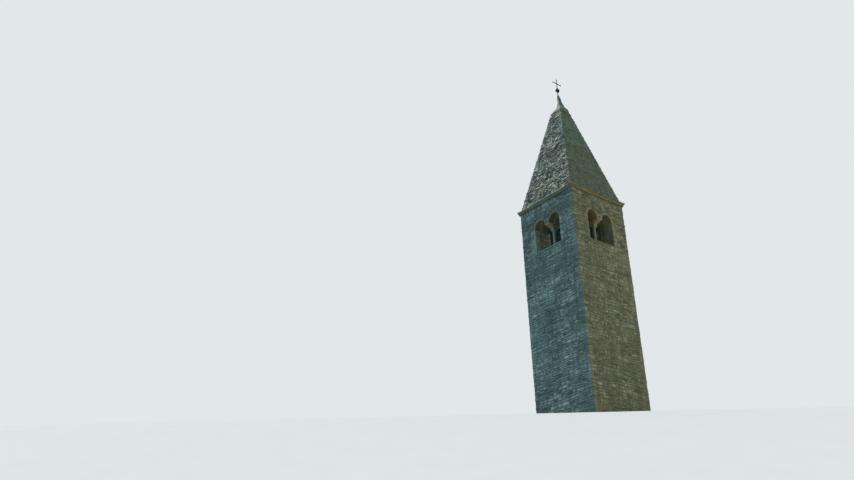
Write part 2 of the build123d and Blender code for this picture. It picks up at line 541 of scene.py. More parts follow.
class Finishes:
    """Every finish of the tower, made once, in colours as they are on a screen."""

    def __init__(self, sizes: "TowerSizes") -> None:
        """Builds the materials.

        Args:
            sizes: the tower's sizes, which say where the cone's front turns blue-grey, where the corner is
                darker and where the faces inside the walls take their painted light.
        """
        # Each stone and mortar finish gives its left colours first and its front colours second, with
        # different painted light: cool shade on the left walls, warm light on the front walls.
        self.rubble = StoneFinish(
            "rubble_stone",
            Weather(
                ((44, 74, 80), (82, 116, 123), (97, 129, 134), (90, 119, 116), (118, 146, 149)),
                lichen=(106, 126, 114), stain=(36, 58, 62), mortar=(88, 116, 116),
            ),
            Weather(
                ((72, 80, 60), (116, 124, 99), (128, 134, 109), (130, 124, 92), (144, 148, 121)),
                lichen=(138, 126, 84), stain=(66, 72, 54), mortar=(122, 122, 94),
            ),
            corner_from=2 * sizes.half - 1.0,
        ).build()
        # The darkest first arch colour is painted shade for the linings and imposts of the windows that face
        # away.
        self.arch_stone = StoneFinish(
            "arch_stone",
            Weather(
                (
                    (34, 44, 48), (120, 141, 118), (134, 148, 122),
                    (132, 128, 92), (88, 96, 84), (212, 220, 212),
                ),
                lichen=(112, 110, 80), stain=(56, 68, 54), mortar=(98, 108, 88),
            ),
            Weather(
                (
                    (34, 42, 44), (112, 130, 112), (124, 132, 110),
                    (146, 130, 92), (150, 132, 94), (170, 174, 152),
                ),
                lichen=(140, 116, 76), stain=(64, 68, 50), mortar=(122, 118, 90),
            ),
            smear=0.3,
        ).build()
        self.column_stone = StoneFinish(
            "column_stone",
            Weather(
                ((88, 114, 120), (98, 124, 128), (92, 118, 122)),
                lichen=(104, 122, 114), stain=(62, 84, 86), mortar=(92, 116, 118),
            ),
            Weather(
                ((114, 120, 98), (126, 130, 106), (120, 124, 100)),
                lichen=(128, 120, 90), stain=(80, 86, 68), mortar=(118, 122, 98),
            ),
            smear=0.2,
            relief=0.004,
        ).build()
        # The left spire colours run up to near white: painted highlights where light grazes the slabs; the
        # front colours are painted shade.
        self.spire_slab = StoneFinish(
            "spire_slab_stone",
            Weather(
                ((46, 68, 72), (78, 100, 102), (120, 140, 138), (178, 188, 176), (228, 230, 210)),
                lichen=(140, 142, 112), stain=(36, 56, 60), mortar=(112, 130, 124),
            ),
            Weather(
                ((68, 92, 78), (80, 103, 86), (90, 110, 90), (96, 114, 94), (112, 122, 98)),
                lichen=(118, 112, 74), stain=(50, 70, 58), mortar=(88, 108, 88),
            ),
            lichen_edge=0.58,
            smear=0.35,
        ).build()
        # The palest left eave colour is a painted highlight for the slabs' lit edges.
        self.eave_slab = StoneFinish(
            "eave_slab_stone",
            Weather(
                ((66, 88, 80), (88, 110, 100), (104, 124, 112), (162, 180, 177)),
                lichen=(114, 116, 88), stain=(44, 60, 54), mortar=(86, 104, 92),
            ),
            Weather(
                ((92, 103, 72), (114, 120, 81), (130, 123, 80)),
                lichen=(138, 114, 66), stain=(58, 66, 46), mortar=(104, 110, 78),
            ),
            smear=0.3,
        ).build()
        self.wall_mortar = MortarFinish(
            "wall_mortar",
            ((72, 94, 94), (50, 70, 70)),
            ((98, 100, 76), (70, 76, 58)),
            stone=(80, 90, 78),
            inner_reach=sizes.inner_half + 0.05,
            indoors=(84, 112, 116),
        ).build()
        self.cone_mortar = MortarFinish(
            "cone_mortar",
            ((154, 168, 162), (128, 142, 136)),
            ((100, 114, 98), (80, 98, 86)),
            stone=(124, 120, 92),
            stone_share=0.45,
            stained_from=sizes.cap_top + 0.06,
            stain=(52, 76, 86),
        ).build()
        self.tile = TileFinish(
            "eave_tile",
            ((104, 104, 62), (120, 116, 68), (112, 112, 70), (132, 120, 70), (168, 110, 54)),
            weather=(76, 99, 90),
            lime=(126, 126, 96),
        ).build()
        self.timber = TimberFinish("floor_timber", (118, 96, 70), (52, 40, 28)).build()
        self.iron = MetalFinish("wrought_iron", (30, 36, 40), (58, 44, 34), 0.56, 0.55).build()
        self.sleeve = MetalFinish("sleeve_metal", (40, 54, 50), (84, 100, 90), 0.6, 0.4).build()
        self.floor = StageFinish("pale_floor", (196, 201, 204)).build()


# Sizes


@dataclass(frozen=True)
class TowerSizes:
    """Sizes of the tower in metres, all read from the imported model."""

    half: float
    inner_half: float
    sill: float
    springing: float
    wall_top: float
    opening_half: float
    impost_width: float
    cornice_half: float
    cornice_top: float
    eave_half: float
    spire_base: float
    spire_half: float
    cap_base: float
    cap_base_half: float
    cap_top: float

    @classmethod
    def read(cls) -> "TowerSizes":
        """Reads the sizes from the boxes of the CAD nodes.

        Returns:
            The sizes.
        """
        wall_low, wall_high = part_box("shaft_front_wall")
        pier_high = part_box("belfry_front_left_pier")[1]
        impost_low, impost_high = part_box("front_window_impost")
        cornice_low, cornice_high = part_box("front_cornice_course")
        spire_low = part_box("spire_front_face")[0]
        cap_low, cap_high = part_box("spire_cap_block")
        return cls(
            half=-wall_low.y,
            inner_half=-wall_high.y,
            sill=wall_high.z,
            springing=pier_high.z,
            wall_top=cornice_low.z,
            opening_half=-pier_high.x,
            impost_width=impost_high.x - impost_low.x,
            cornice_half=-cornice_low.y,
            cornice_top=cornice_high.z,
            eave_half=-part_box("front_eave_slabs")[0].y,
            spire_base=spire_low.z,
            spire_half=-spire_low.y,
            cap_base=cap_low.z,
            cap_base_half=-cap_low.y,
            cap_top=cap_high.z,
        )

    @property
    def light_radius(self) -> float:
        """The radius of each light's arch."""
        return (2 * self.opening_half - self.impost_width) / 4

    @property
    def light_centre(self) -> float:
        """How far each light's centre lies from the window's middle."""
        return self.light_radius + self.impost_width / 2

    @property
    def spire_slope(self) -> float:
        """How far the spire's face draws in for each metre up."""
        return (self.spire_half - self.cap_base_half) / (self.cap_base - self.spire_base)

    @property
    def column_place(self) -> float:
        """How far the window columns stand from the tower's axis."""
        return (self.half + self.inner_half) / 2

    @property
    def thickness(self) -> float:
        """How thick the walls are."""
        return self.half - self.inner_half

    def spire_half_at(self, level: float) -> float:
        """Half the spire's width at a level."""
        return self.spire_half - (level - self.spire_base) * self.spire_slope


# Modelling by hand


def choose(*pieces: Piece) -> None:
    """Selects these objects alone, with the first of them as the active one."""
    bpy.ops.object.select_all(action="DESELECT")
    for piece in pieces:
        piece.select_set(True)
    bpy.context.view_layer.objects.active = pieces[0]


@contextmanager
def editing(piece: Piece) -> Iterator[None]:
    """Opens a piece in edit mode with all of it selected, and closes it again.

    Args:
        piece: the object to edit.

    Yields:
        Nothing.
    """
    choose(piece)
    bpy.ops.object.mode_set(mode="EDIT")
    bpy.ops.mesh.select_all(action="SELECT")
    yield
    bpy.ops.object.mode_set(mode="OBJECT")


def pick_faces(piece: Piece, test: Callable[[bmesh.types.BMFace], bool]) -> None:
    """Selects the faces that pass a test, in edit mode.

    Args:
        piece: the object in edit mode.
        test: says whether a face is wanted.
    """
    bpy.ops.mesh.select_mode(type="FACE")
    mesh = bmesh.from_edit_mesh(piece.data)
    for face in mesh.faces:
        face.select_set(False)
    for face in mesh.faces:
        if test(face):
            face.select_set(True)
    bmesh.update_edit_mesh(piece.data)


def draw_out(move: Sequence[float], factor: Sequence[float], centre: Sequence[float]) -> None:
    """Extrudes what is selected in edit mode, and resizes it about a centre."""
    bpy.ops.mesh.extrude_region_move(TRANSFORM_OT_translate={"value": move})
    bpy.ops.transform.resize(value=factor, center_override=centre)


def face_outwards() -> None:
    """Turns every face of the piece in edit mode outwards."""
    bpy.ops.mesh.select_all(action="SELECT")
    bpy.ops.mesh.normals_make_consistent(inside=False)


def named(name: str) -> Piece:
    """Gives the active object and its mesh a name."""
    piece = bpy.context.object
    piece.name = piece.data.name = name
    return piece


def added(name: str, data: bpy.types.ID) -> Piece:
    """Adds an object with its data to the scene."""
    thing = bpy.data.objects.new(name, data)
    bpy.context.scene.collection.objects.link(thing)
    return thing


def primitive(kind: str, name: str, **options: object) -> Piece:
    """Adds a primitive to start from, with nothing else selected.

    Args:
        kind: the primitive's name in Blender's mesh operators.
        name: the name of the new piece.
        options: the primitive's own sizes and place.

    Returns:
        The new object.
    """
    bpy.ops.object.select_all(action="DESELECT")
    getattr(bpy.ops.mesh, f"primitive_{kind}_add")(**options)
    return named(name)


def settle(piece: Piece) -> None:
    """Puts a piece's place, turn and scale into its mesh."""
    choose(piece)
    bpy.ops.object.transform_apply(location=True, rotation=True, scale=True)


def squared(name: str, size: Sequence[float], middle: Sequence[float], kind: str = "cube") -> Piece:
    """Adds a cube or a plane, drawn out to a size.

    Args:
        name: the name of the new piece.
        size: its length along each axis.
        middle: the place of its middle.
        kind: the primitive to start from.

    Returns:
        The new object.
    """
    piece = primitive(kind, name, size=1, location=middle)
    piece.scale = size
    settle(piece)
    return piece


def add_modifier(piece: Piece, kind: str, **options: object) -> None:
    """Adds a modifier and applies it.

    Args:
        piece: the object to finish.
        kind: the modifier's type.
        options: the modifier's settings.
    """
    choose(piece)
    modifier = piece.modifiers.new(kind.lower(), kind)
    for key, setting in options.items():
        setattr(modifier, key, setting)
    bpy.ops.object.modifier_apply(modifier=modifier.name)


def wear_edges(piece: Piece, width: float, angle: float) -> None:
    """Bevels the edges of a piece that are sharper than an angle in degrees."""
    limits = {"limit_method": "ANGLE", "angle_limit": math.radians(angle)}
    add_modifier(piece, "BEVEL", width=width, segments=2, **limits)


def turned(name: str, profile: Sequence[Pair], segments: int) -> Piece:
    """Models a round piece from its foot up: a disc, extruded and resized step by step.

    Args:
        name: the name of the new piece.
        profile: the radius and the level of each step.
        segments: how many sides the round has.

    Returns:
        The closed piece.
    """
    radius, level = profile[0]
    disc = {"vertices": segments, "radius": radius, "fill_type": "NGON", "location": (0, 0, level)}
    piece = primitive("circle", name, **disc)
    settle(piece)
    with editing(piece):
        for (radius, level), (next_radius, next_level) in pairwise(profile):
            factor = next_radius / radius
            draw_out((0, 0, next_level - level), (factor, factor, 1), (0, 0, next_level))
        face_outwards()
    return piece


def roughen(piece: Piece, amount: float, scale: float, seed: float) -> None:
    """Moves a piece's points in and out by a soft noise, as a mason's tool leaves a stone.

    Args:
        piece: the object to roughen.
        amount: the furthest that a point moves, in metres.
        scale: how many lumps there are in a metre.
        seed: where in the noise the piece lies.
    """
    offset = Vector((seed, seed * 0.7, seed * 0.3))
    points = piece.data.vertices
    moves = [point.normal * noise.noise(point.co * scale + offset) * amount for point in points]
    for point, move in zip(points, moves):
        point.co += move


def joined(name: str, pieces: Sequence[Piece]) -> Piece:
    """Joins several objects into one piece under one name."""
    choose(*pieces)
    bpy.ops.object.join()
    return named(name)


def give_attribute(piece: Piece, name: str, values: np.ndarray) -> None:
    """Stores one number for each point of a piece."""
    attribute = piece.data.attributes.new(name, "FLOAT", "POINT")
    attribute.data.foreach_set("value", np.ascontiguousarray(values, np.float32))


def dress(
    piece: Piece, material: Material, replaced: Sequence[str] = (), smooth: float = 35.0
) -> None:
    """Gives a piece its finish and lets it ride on the tower.

    Args:
        piece: the finished object.
        material: its finish.
        replaced: the CAD nodes that it replaces.
        smooth: the angle in degrees up to which edges are shaded smooth.
    """
    piece.data.materials.clear()
    piece.data.materials.append(material)
    choose(piece)
    bpy.ops.object.shade_smooth_by_angle(angle=math.radians(smooth))
    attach(piece, "root")
    if replaced:
        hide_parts(*replaced)
    triangles = sum(len(polygon.vertices) - 2 for polygon in piece.data.polygons)
    log.info("%s: %d triangles", piece.name, triangles)


# Masonry


class StoneTemplate:
    """One stone with chamfered edges and a bulged face, modelled once and copied for every stone."""

    chamfer = 0.16
    inset = 0.17

    def __init__(self) -> None:
        """Models the stone in a unit cube, with its face upwards, and keeps its points and faces."""
        stone = squared("stone_template", (1, 1, 1), (0.5, 0.5, 0.5))
        with editing(stone):
            bpy.ops.mesh.bevel(offset=self.chamfer, segments=1, affect="EDGES")
            pick_faces(stone, lambda face: face.normal.z > 0.9)
            bpy.ops.mesh.inset(thickness=self.inset, depth=0.5)
            bpy.ops.mesh.poke(offset=0.5)
            face_outwards()
        self.points = np.array([vertex.co for vertex in stone.data.vertices])
        self.faces = [tuple(polygon.vertices) for polygon in stone.data.polygons]
        self.rim = np.clip((1.3 - self.points[:, 2]) / 0.3, 0, 1)
        bpy.data.objects.remove(stone)


def block(across: Pair, up: Pair, back: float, front: Pair, above: Pair | None = None) -> np.ndarray:
    """Gives a stone's eight corners.

    Args:
        across: its two ends along the wall.
        up: its lower and upper levels.
        back: how far out its hidden back is.
        front: how far out its face is, at the lower and the upper edge.
        above: its two ends at its upper edge, where they aren't those below.

    Returns:
        The corners, with along, up and out for each.
    """
    ends = (across, above or across)
    depth = ((back, back), front)
    rows = [(ends[v][u], up[v], depth[w][v]) for w in (0, 1) for v in (0, 1) for u in (0, 1)]
    return np.array(rows, float)


@dataclass(frozen=True)
class Wear:
    """How worn stones are: how far edges are rounded, faces bulge and single points stray."""

    chamfer: float = 0.015
    bulge: float = 0.012
    rough: float = 0.0035


class Masonry:
    """Gathers the stones of one piece and joins them into a mesh."""

    widest_chamfer = 0.3

    def __init__(self, template: StoneTemplate, seed: int) -> None:
        """Starts with no stones, and with random numbers of its own.

        Args:
            template: the stone to copy.
            seed: where the random numbers start.
        """
        self.template = template
        self.random = np.random.default_rng(seed)
        self.stones: list[np.ndarray] = []
        self.tints: list[float] = []

    def between(self, low: float, high: float) -> float:
        """Gives a random number between two others."""
        return float(self.random.uniform(low, high))

    def split(self, length: float, shortest: float, longest: float) -> np.ndarray:
        """Divides a length into uneven parts.

        Args:
            length: the length to divide.
            shortest, longest: the least and the most that a part usually is.

        Returns:
            The places of the divisions, from 0 to 1, with both ends.
        """
        count = max(1, round(length / self.between(shortest, longest)))
        parts = self.random.uniform(0.55, 1.45, count)
        return np.concatenate(([0.0], np.cumsum(parts) / parts.sum()))

    def parted(
        self, low: float, high: float, usual: Pair, joint: float = 0.0, shares: bool = False
    ) -> list[Pair]:
        """Divides a stretch into uneven parts with joints between them.

        Args:
            low, high: where the stretch starts and stops.
            usual: the least and the most that a part usually is.
            joint: the width of a joint.
            shares: whether those two are shares of the stretch, and not metres.

        Returns:
            Where each part starts and stops.
        """
        cuts = low + self.split(1.0 if shares else high - low, *usual) * (high - low)
        return [(start + joint / 2, stop - joint / 2) for start, stop in pairwise(cuts)]

    def add(
        self, corners: np.ndarray, place: Place, tint: float | None = None, loose: float = 0.006
    ) -> None:
        """Adds one stone.

        Args:
            corners: its eight corners, as along, up and out.
            place: takes such points to their place on the tower.
            tint: where its shade lies in the finish's palette, from 0 to 1, or None for any.
            loose: how far its corners may stray, in metres.
        """
        strayed = corners + self.random.uniform(-loose, loose, corners.shape)
        stone = place(strayed)
        across, up, out = stone[1] - stone[0], stone[2] - stone[0], stone[4] - stone[0]
        if np.dot(np.cross(across, up), out) < 0:
            stone = stone[[1, 0, 3, 2, 5, 4, 7, 6]]
        self.stones.append(stone)
        self.tints.append(float(self.random.random()) if tint is None else tint)

    def join(self, name: str, wear: Wear) -> Piece:
        """Copies the template into every stone and joins them.

        Args:
            name: the name of the new piece.
            wear: how worn the stones are.

        Returns:
            The joined piece.
        """
        cells = np.array(self.stones)
        count, size = len(cells), len(self.template.points)
        sides = np.stack([np.linalg.norm(cells[:, k] - cells[:, 0], axis=1) for k in (1, 2, 4)], axis=1)
        edge = wear.chamfer * self.random.uniform(0.6, 1.5, (count, 1)) / sides
        edge = np.minimum(edge, self.widest_chamfer)[:, None, :]
        at = self.template.points[None, :, :]
        near = np.minimum(at, 1 - at)
        cut = self.template.chamfer
        inner = edge + (near - cut) * (0.5 - edge) / (0.5 - cut)
        eased = np.where(near <= cut, near * edge / cut, inner)
        eased = np.where(at < 0.5, eased, 1 - eased)
        swell = wear.bulge * self.random.uniform(0.3, 1.6, (count, 1)) / sides[:, 2:3]
        out = np.where(at[..., 2] > 1, 1 + (at[..., 2] - 1) * swell, eased[..., 2])
        share = np.stack((eased[..., 0], eased[..., 1], out), axis=-1)
        points = np.zeros((count, size, 3))
        for corner in range(8):
            picks = [share[..., k] if corner >> k & 1 else 1 - share[..., k] for k in range(3)]
            points += (picks[0] * picks[1] * picks[2])[..., None] * cells[:, None, corner]
        points += self.random.normal(0, wear.rough, points.shape)
        starts = range(0, count * size, size)
        faces = [tuple(start + index for index in face) for start in starts for face in self.template.faces]
        mesh = bpy.data.meshes.new(name)
        mesh.from_pydata(points.reshape(-1, 3).tolist(), [], faces)
        piece = added(name, mesh)
        give_attribute(piece, "tint", np.repeat(self.tints, size))
        give_attribute(piece, "rim", np.tile(self.template.rim, count))
        return piece


def wall_place(side: Side, distance: float) -> Place:
    """Takes along, up and out on an upright wall, so far from the tower's axis, to the tower."""
    along, outward = side.along, side.outward
    return lambda at: at[:, :1] * along + at[:, 1:2] * UP + (distance + at[:, 2:3]) * outward


def slope_place(side: Side, sizes: TowerSizes) -> Place:
    """Takes along, up and out on a spire face to the tower.

    Args:
        side: the side of the tower.
        sizes: the tower's sizes.

    Returns:
        The function that places points.
    """
    normal = (side.outward + UP * sizes.spire_slope) / math.hypot(1, sizes.spire_slope)
    return lambda at: (
        at[:, :1] * side.along
        + at[:, 1:2] * UP
        + sizes.spire_half_at(at[:, 1:2]) * side.outward
        + at[:, 2:3] * normal
    )


def arch_place(wall: Place, centre: float, springing: float) -> Place:
    """Takes angle, radius and out on the ring of an arch to the tower.

    Args:
        wall: the placing of the wall that the arch is in.
        centre: the place of the arch's centre along the wall.
        springing: the level of the arch's centre.

    Returns:
        The function that places points.
    """

    def place(at: np.ndarray) -> np.ndarray:
        """Places points given as angle, radius and out."""
        along = centre + at[:, 1] * np.cos(at[:, 0])
        level = springing + at[:, 1] * np.sin(at[:, 0])
        return wall(np.stack((along, level, at[:, 2]), axis=1))

    return place


def reordered(wall: Place, order: tuple[int, int, int], flip: tuple[int, int, int]) -> Place:
    """Lets a stone face another way than out of its wall, with its directions in another order."""
    return lambda at: wall(at[:, order] * np.array(flip, float))


def mirrored(sign: int, near: float, far: float) -> Pair:
    """Gives a stretch on the right of the middle for 1, and on the left for -1."""
    return (near, far) if sign > 0 else (-far, -near)


def by_turns(corner: int, course: int, first: bool, long: float, short: float) -> float:
    """Picks the long or the short side of a corner stone, which change places in every course."""
    return long if ((corner + course) % 2 == 0) == first else short


@dataclass(frozen=True)
class Span:
    """A stretch of a course, whose ends may slant: where it starts and stops, below and above."""

    low: Pair
    high: Pair

    def width(self) -> float:
        """The stretch's mean width."""
        return (self.low[1] - self.low[0] + self.high[1] - self.high[0]) / 2

    def part(self, start: float, stop: float, joint: float) -> "Span":
        """Gives a piece of the stretch, less half a joint at each end.

        Args:
            start, stop: where the piece starts and stops, as shares of the stretch.
            joint: the width of a joint.

        Returns:
            The piece.
        """
        cut = (
            (near + (far - near) * start + joint / 2, near + (far - near) * stop - joint / 2)
            for near, far in (self.low, self.high)
        )
        return Span(*cut)


@dataclass(frozen=True)
class CoursePlan:
    """The levels that all walls share, with the lengths of the corner and jamb stones at each."""

    sizes: TowerSizes
    lift: float = 0.3
    long_quoin: float = 0.44
    short_quoin: float = 0.24
    long_jamb: float = 0.36
    short_jamb: float = 0.2
    ring: float = 0.14
    drift: float = 0.04
    narrowest: float = 0.07

    @property
    def crown(self) -> float:
        """The level of the top of the arches' rings."""
        return self.sizes.springing + self.sizes.light_radius + self.ring

    def levels(self) -> list[float]:
        """The levels of the bed joints, from the ground to the wall top.

        Returns:
            The levels.
        """
        random = np.random.default_rng(11)
        sizes = self.sizes
        found = [0.0]
        for low, high in pairwise((0.0, sizes.sill, sizes.springing, sizes.wall_top)):
            count = round((high - low) / self.lift)
            step = (high - low) / count
            found += [low + step * k + float(random.uniform(-0.06, 0.06)) for k in range(1, count)]
            found.append(high)
        return found

    def quoin(self, corner: int, course: int, first: bool) -> float:
        """The length of a corner stone on one of its two sides.

        Args:
            corner: the number of the side whose left end the corner is.
            course: the number of the course.
            first: True for its length on that side, False for the side before.

        Returns:
            The length in metres.
        """
        length = by_turns(corner, course, first, self.long_quoin, self.short_quoin)
        return length + 0.06 * math.sin(course * 2.3 + corner * 1.7 + first)

    def jamb(self, course: int, end: int) -> float:
        """The length of a jamb stone on the wall's face, at the window's left or right end."""
        length = self.long_jamb if (course + end) % 2 else self.short_jamb
        return length + 0.04 * math.sin(course * 3.1 + end)

    def ring_half(self, level: float) -> float:
        """Half the width that an arch and its ring take up at a level."""
        reach = self.sizes.light_radius + self.ring
        return math.sqrt(max(reach**2 - (level - self.sizes.springing) ** 2, 0.0))

    def wander(self, side: Side, points: np.ndarray) -> np.ndarray:
        """Says how far the beds rise or sink at places on a side, which is nothing round the window.

        Args:
            side: the side of the tower.
            points: the places, as along, up and out.

        Returns:
            The rise at each place, in metres.
        """
        sizes, crown = self.sizes, self.crown
        along, level = points[:, 0], points[:, 1]
        turn = math.pi * (2 * side.value + along / sizes.half) / 4
        rise = np.sin(turn * 5 + level * 0.8) * 0.6 + np.sin(turn * 13 - level * 1.7) * 0.4
        ends = np.minimum(level, sizes.wall_top - level) / 0.5
        beside = (np.abs(along) - sizes.opening_half - self.long_jamb) / 0.4
        above = (np.abs(level - (sizes.sill + crown) / 2) - (crown - sizes.sill) / 2 - 0.05) / 0.4
        return rise * self.drift * np.clip(np.minimum(ends, np.maximum(beside, above)), 0, 1)

    def waved(self, side: Side) -> Place:
        """Gives the placing on a side's face, with the wandering of its beds."""
        wall = wall_place(side, self.sizes.half)
        return lambda at: wall(at) + UP * self.wander(side, at)[:, None]

    def spans(self, side: Side, course: int, low: float, high: float) -> list[Span]:
        """Gives what is left of a course between the corners and the window.

        Args:
            side: the side of the tower.
            course: the number of the course.
            low, high: the levels to look at within the course.

        Returns:
            The stretches to fill with stones.
        """
        sizes = self.sizes
        left = -sizes.half + self.quoin(side.value, course, True)
        right = sizes.half - self.quoin((side.value + 1) % 4, course, False)
        if high <= sizes.sill + 0.001 or low >= self.crown:
            return [Span((left, right), (left, right))]
        if high <= sizes.springing + 0.001:
            edges = [(left, -sizes.opening_half - self.jamb(course, 0))]
            edges += [(sizes.opening_half + self.jamb(course, 1), right)]
            return [Span(ends, ends) for ends in edges]
        centre = sizes.light_centre
        below, above = self.ring_half(low), self.ring_half(high)
        spans = [
            Span((left, -centre - below), (left, -centre - above)),
            Span((centre + below, right), (centre + above, right)),
        ]
        if centre - above > self.narrowest:
            foot = max(centre - below, 0.02)
            spans.append(Span((-foot, foot), (above - centre, centre - above)))
        return spans


@dataclass
class Stonework:
    """Stones on one side of the tower that are laid one by one and joined as one piece.

    Each kind gives the seed of its first side, its name, its slot and how worn its stones are.
    """

    side: Side
    plan: "CoursePlan | SpirePlan"
    template: StoneTemplate

    seed: ClassVar[int]
    name: ClassVar[str]
    slot: ClassVar[str]
    wear: ClassVar[Wear] = Wear()
    replaced: ClassVar[tuple[str, ...]] = ()

    def __post_init__(self) -> None:
        """Starts the masonry of this side."""
        self.mason = Masonry(self.template, self.seed + self.side.value)
        self.sizes = self.plan.sizes

    def titled(self, pattern: str) -> str:
        """Puts the name of the side or of its left corner into a piece's name."""
        return pattern.format(side=self.side.label, corner=self.side.corner)

    def lay(self) -> None:
        """Lays the stones; each kind has its own way."""
        raise NotImplementedError

    def build(self, finish: Material) -> None:
        """Lays the stones, joins them and gives them their finish.

        Args:
            finish: the stones' material.
        """
        self.lay()
        piece = self.mason.join(self.titled(self.name), self.wear)
        dress(piece, finish, [self.titled(name) for name in self.replaced])


@dataclass
class WallFacing(Stonework):
    """The rubble face of one side: lifts of uneven small courses between the corner stones."""

    joint: float = 0.016
    back: float = -0.1
    proud: Pair = (0.005, 0.022)
    patch: Pair = (0.45, 1.1)
    row_odds: tuple[float, ...] = (0.08, 0.5, 0.35, 0.07)
    thinnest_row: float = 0.07

    seed = 100
    name = "{side}_wall_stones"
    slot = "rubble_wall"

    def fill(self, place: Place, span: Span, low: float, high: float) -> None:
        """Fills one stretch of a course with stones of uneven height and length.

        Args:
            place: the wall's placing.
            span: the stretch to fill.
            low, high: the levels of the stretch.
        """
        mason, height = self.mason, high - low
        for start, stop in pairwise(mason.split(span.width(), *self.patch)):
            rows = int(mason.random.choice((1, 2, 3, 4), p=self.row_odds))
            rows = max(1, min(rows, round(height / self.thinnest_row)))
            for rise in mason.parted(low, high, (height / rows, height / rows)):
                self.lay_row(place, span.part(start, stop, 0.0), (low, high), rise)

    def lay_row(self, place: Place, span: Span, lift: Pair, rise: Pair) -> None:
        """Lays one row of stones.

        Args:
            place: the wall's placing.
            span: the stretch that the row is in.
            lift: the levels that the stretch's slanting ends are given for.
            rise: the row's own levels.
        """
        mason, (bed, top) = self.mason, rise
        shares = [(level - lift[0]) / (lift[1] - lift[0]) for level in rise]
        ends = [[span.low[k] + (span.high[k] - span.low[k]) * share for k in (0, 1)] for share in shares]
        row = Span(tuple(ends[0]), tuple(ends[1]))
        height = top - bed
        for start, stop in pairwise(mason.split(row.width(), 0.13 + height * 0.6, 0.21 + height * 1.2)):
            stone = row.part(start, stop, self.joint * mason.between(0.6, 2.1))
            front = mason.between(*self.proud)
            tilt = mason.between(-0.008, 0.008)
            gap = self.joint * mason.between(0.3, 0.95)
            faces = (front + tilt, front - tilt)
            corners = block(stone.low, (bed + gap, top - gap), self.back, faces, stone.high)
            mason.add(corners, place, loose=0.009)

    def lay(self) -> None:
        """Lays the whole side."""
        plan, place = self.plan, self.plan.waved(self.side)
        for course, (low, high) in enumerate(pairwise(plan.levels())):
            near_arch = self.sizes.springing - 0.01 <= low < plan.crown
            for bed, top in pairwise(np.linspace(low, high, 3 if near_arch else 2)):
                for span in plan.spans(self.side, course, bed, top):
                    self.fill(place, span, bed, top)


@dataclass
class CornerStones(Stonework):
    """The squared blocks of one corner, laid long and short in turn from the ground to the wall top."""

    joint: float = 0.014
    proud: Pair = (0.008, 0.022)
    block_share: Pair = (0.36, 0.7)

    seed = 200
    name = "{corner}_corner_stones"
    slot = "rubble_wall"
    wear = Wear(chamfer=0.018)

    def lay(self) -> None:
        """Lays the corner at the side's left end."""
        mason, plan, half = self.mason, self.plan, self.sizes.half
        place = plan.waved(self.side)
        for course, (low, high) in enumerate(pairwise(plan.levels())):
            first, second = (
                plan.quoin(self.side.value, course, own) - self.joint / 2 for own in (True, False)
            )
            for rise in mason.parted(low, high, self.block_share, self.joint, shares=True):
                out = mason.between(*self.proud)
                ends = (-half - mason.between(*self.proud), -half + first)
                mason.add(block(ends, rise, -second, (out, out)), place, loose=0.007)


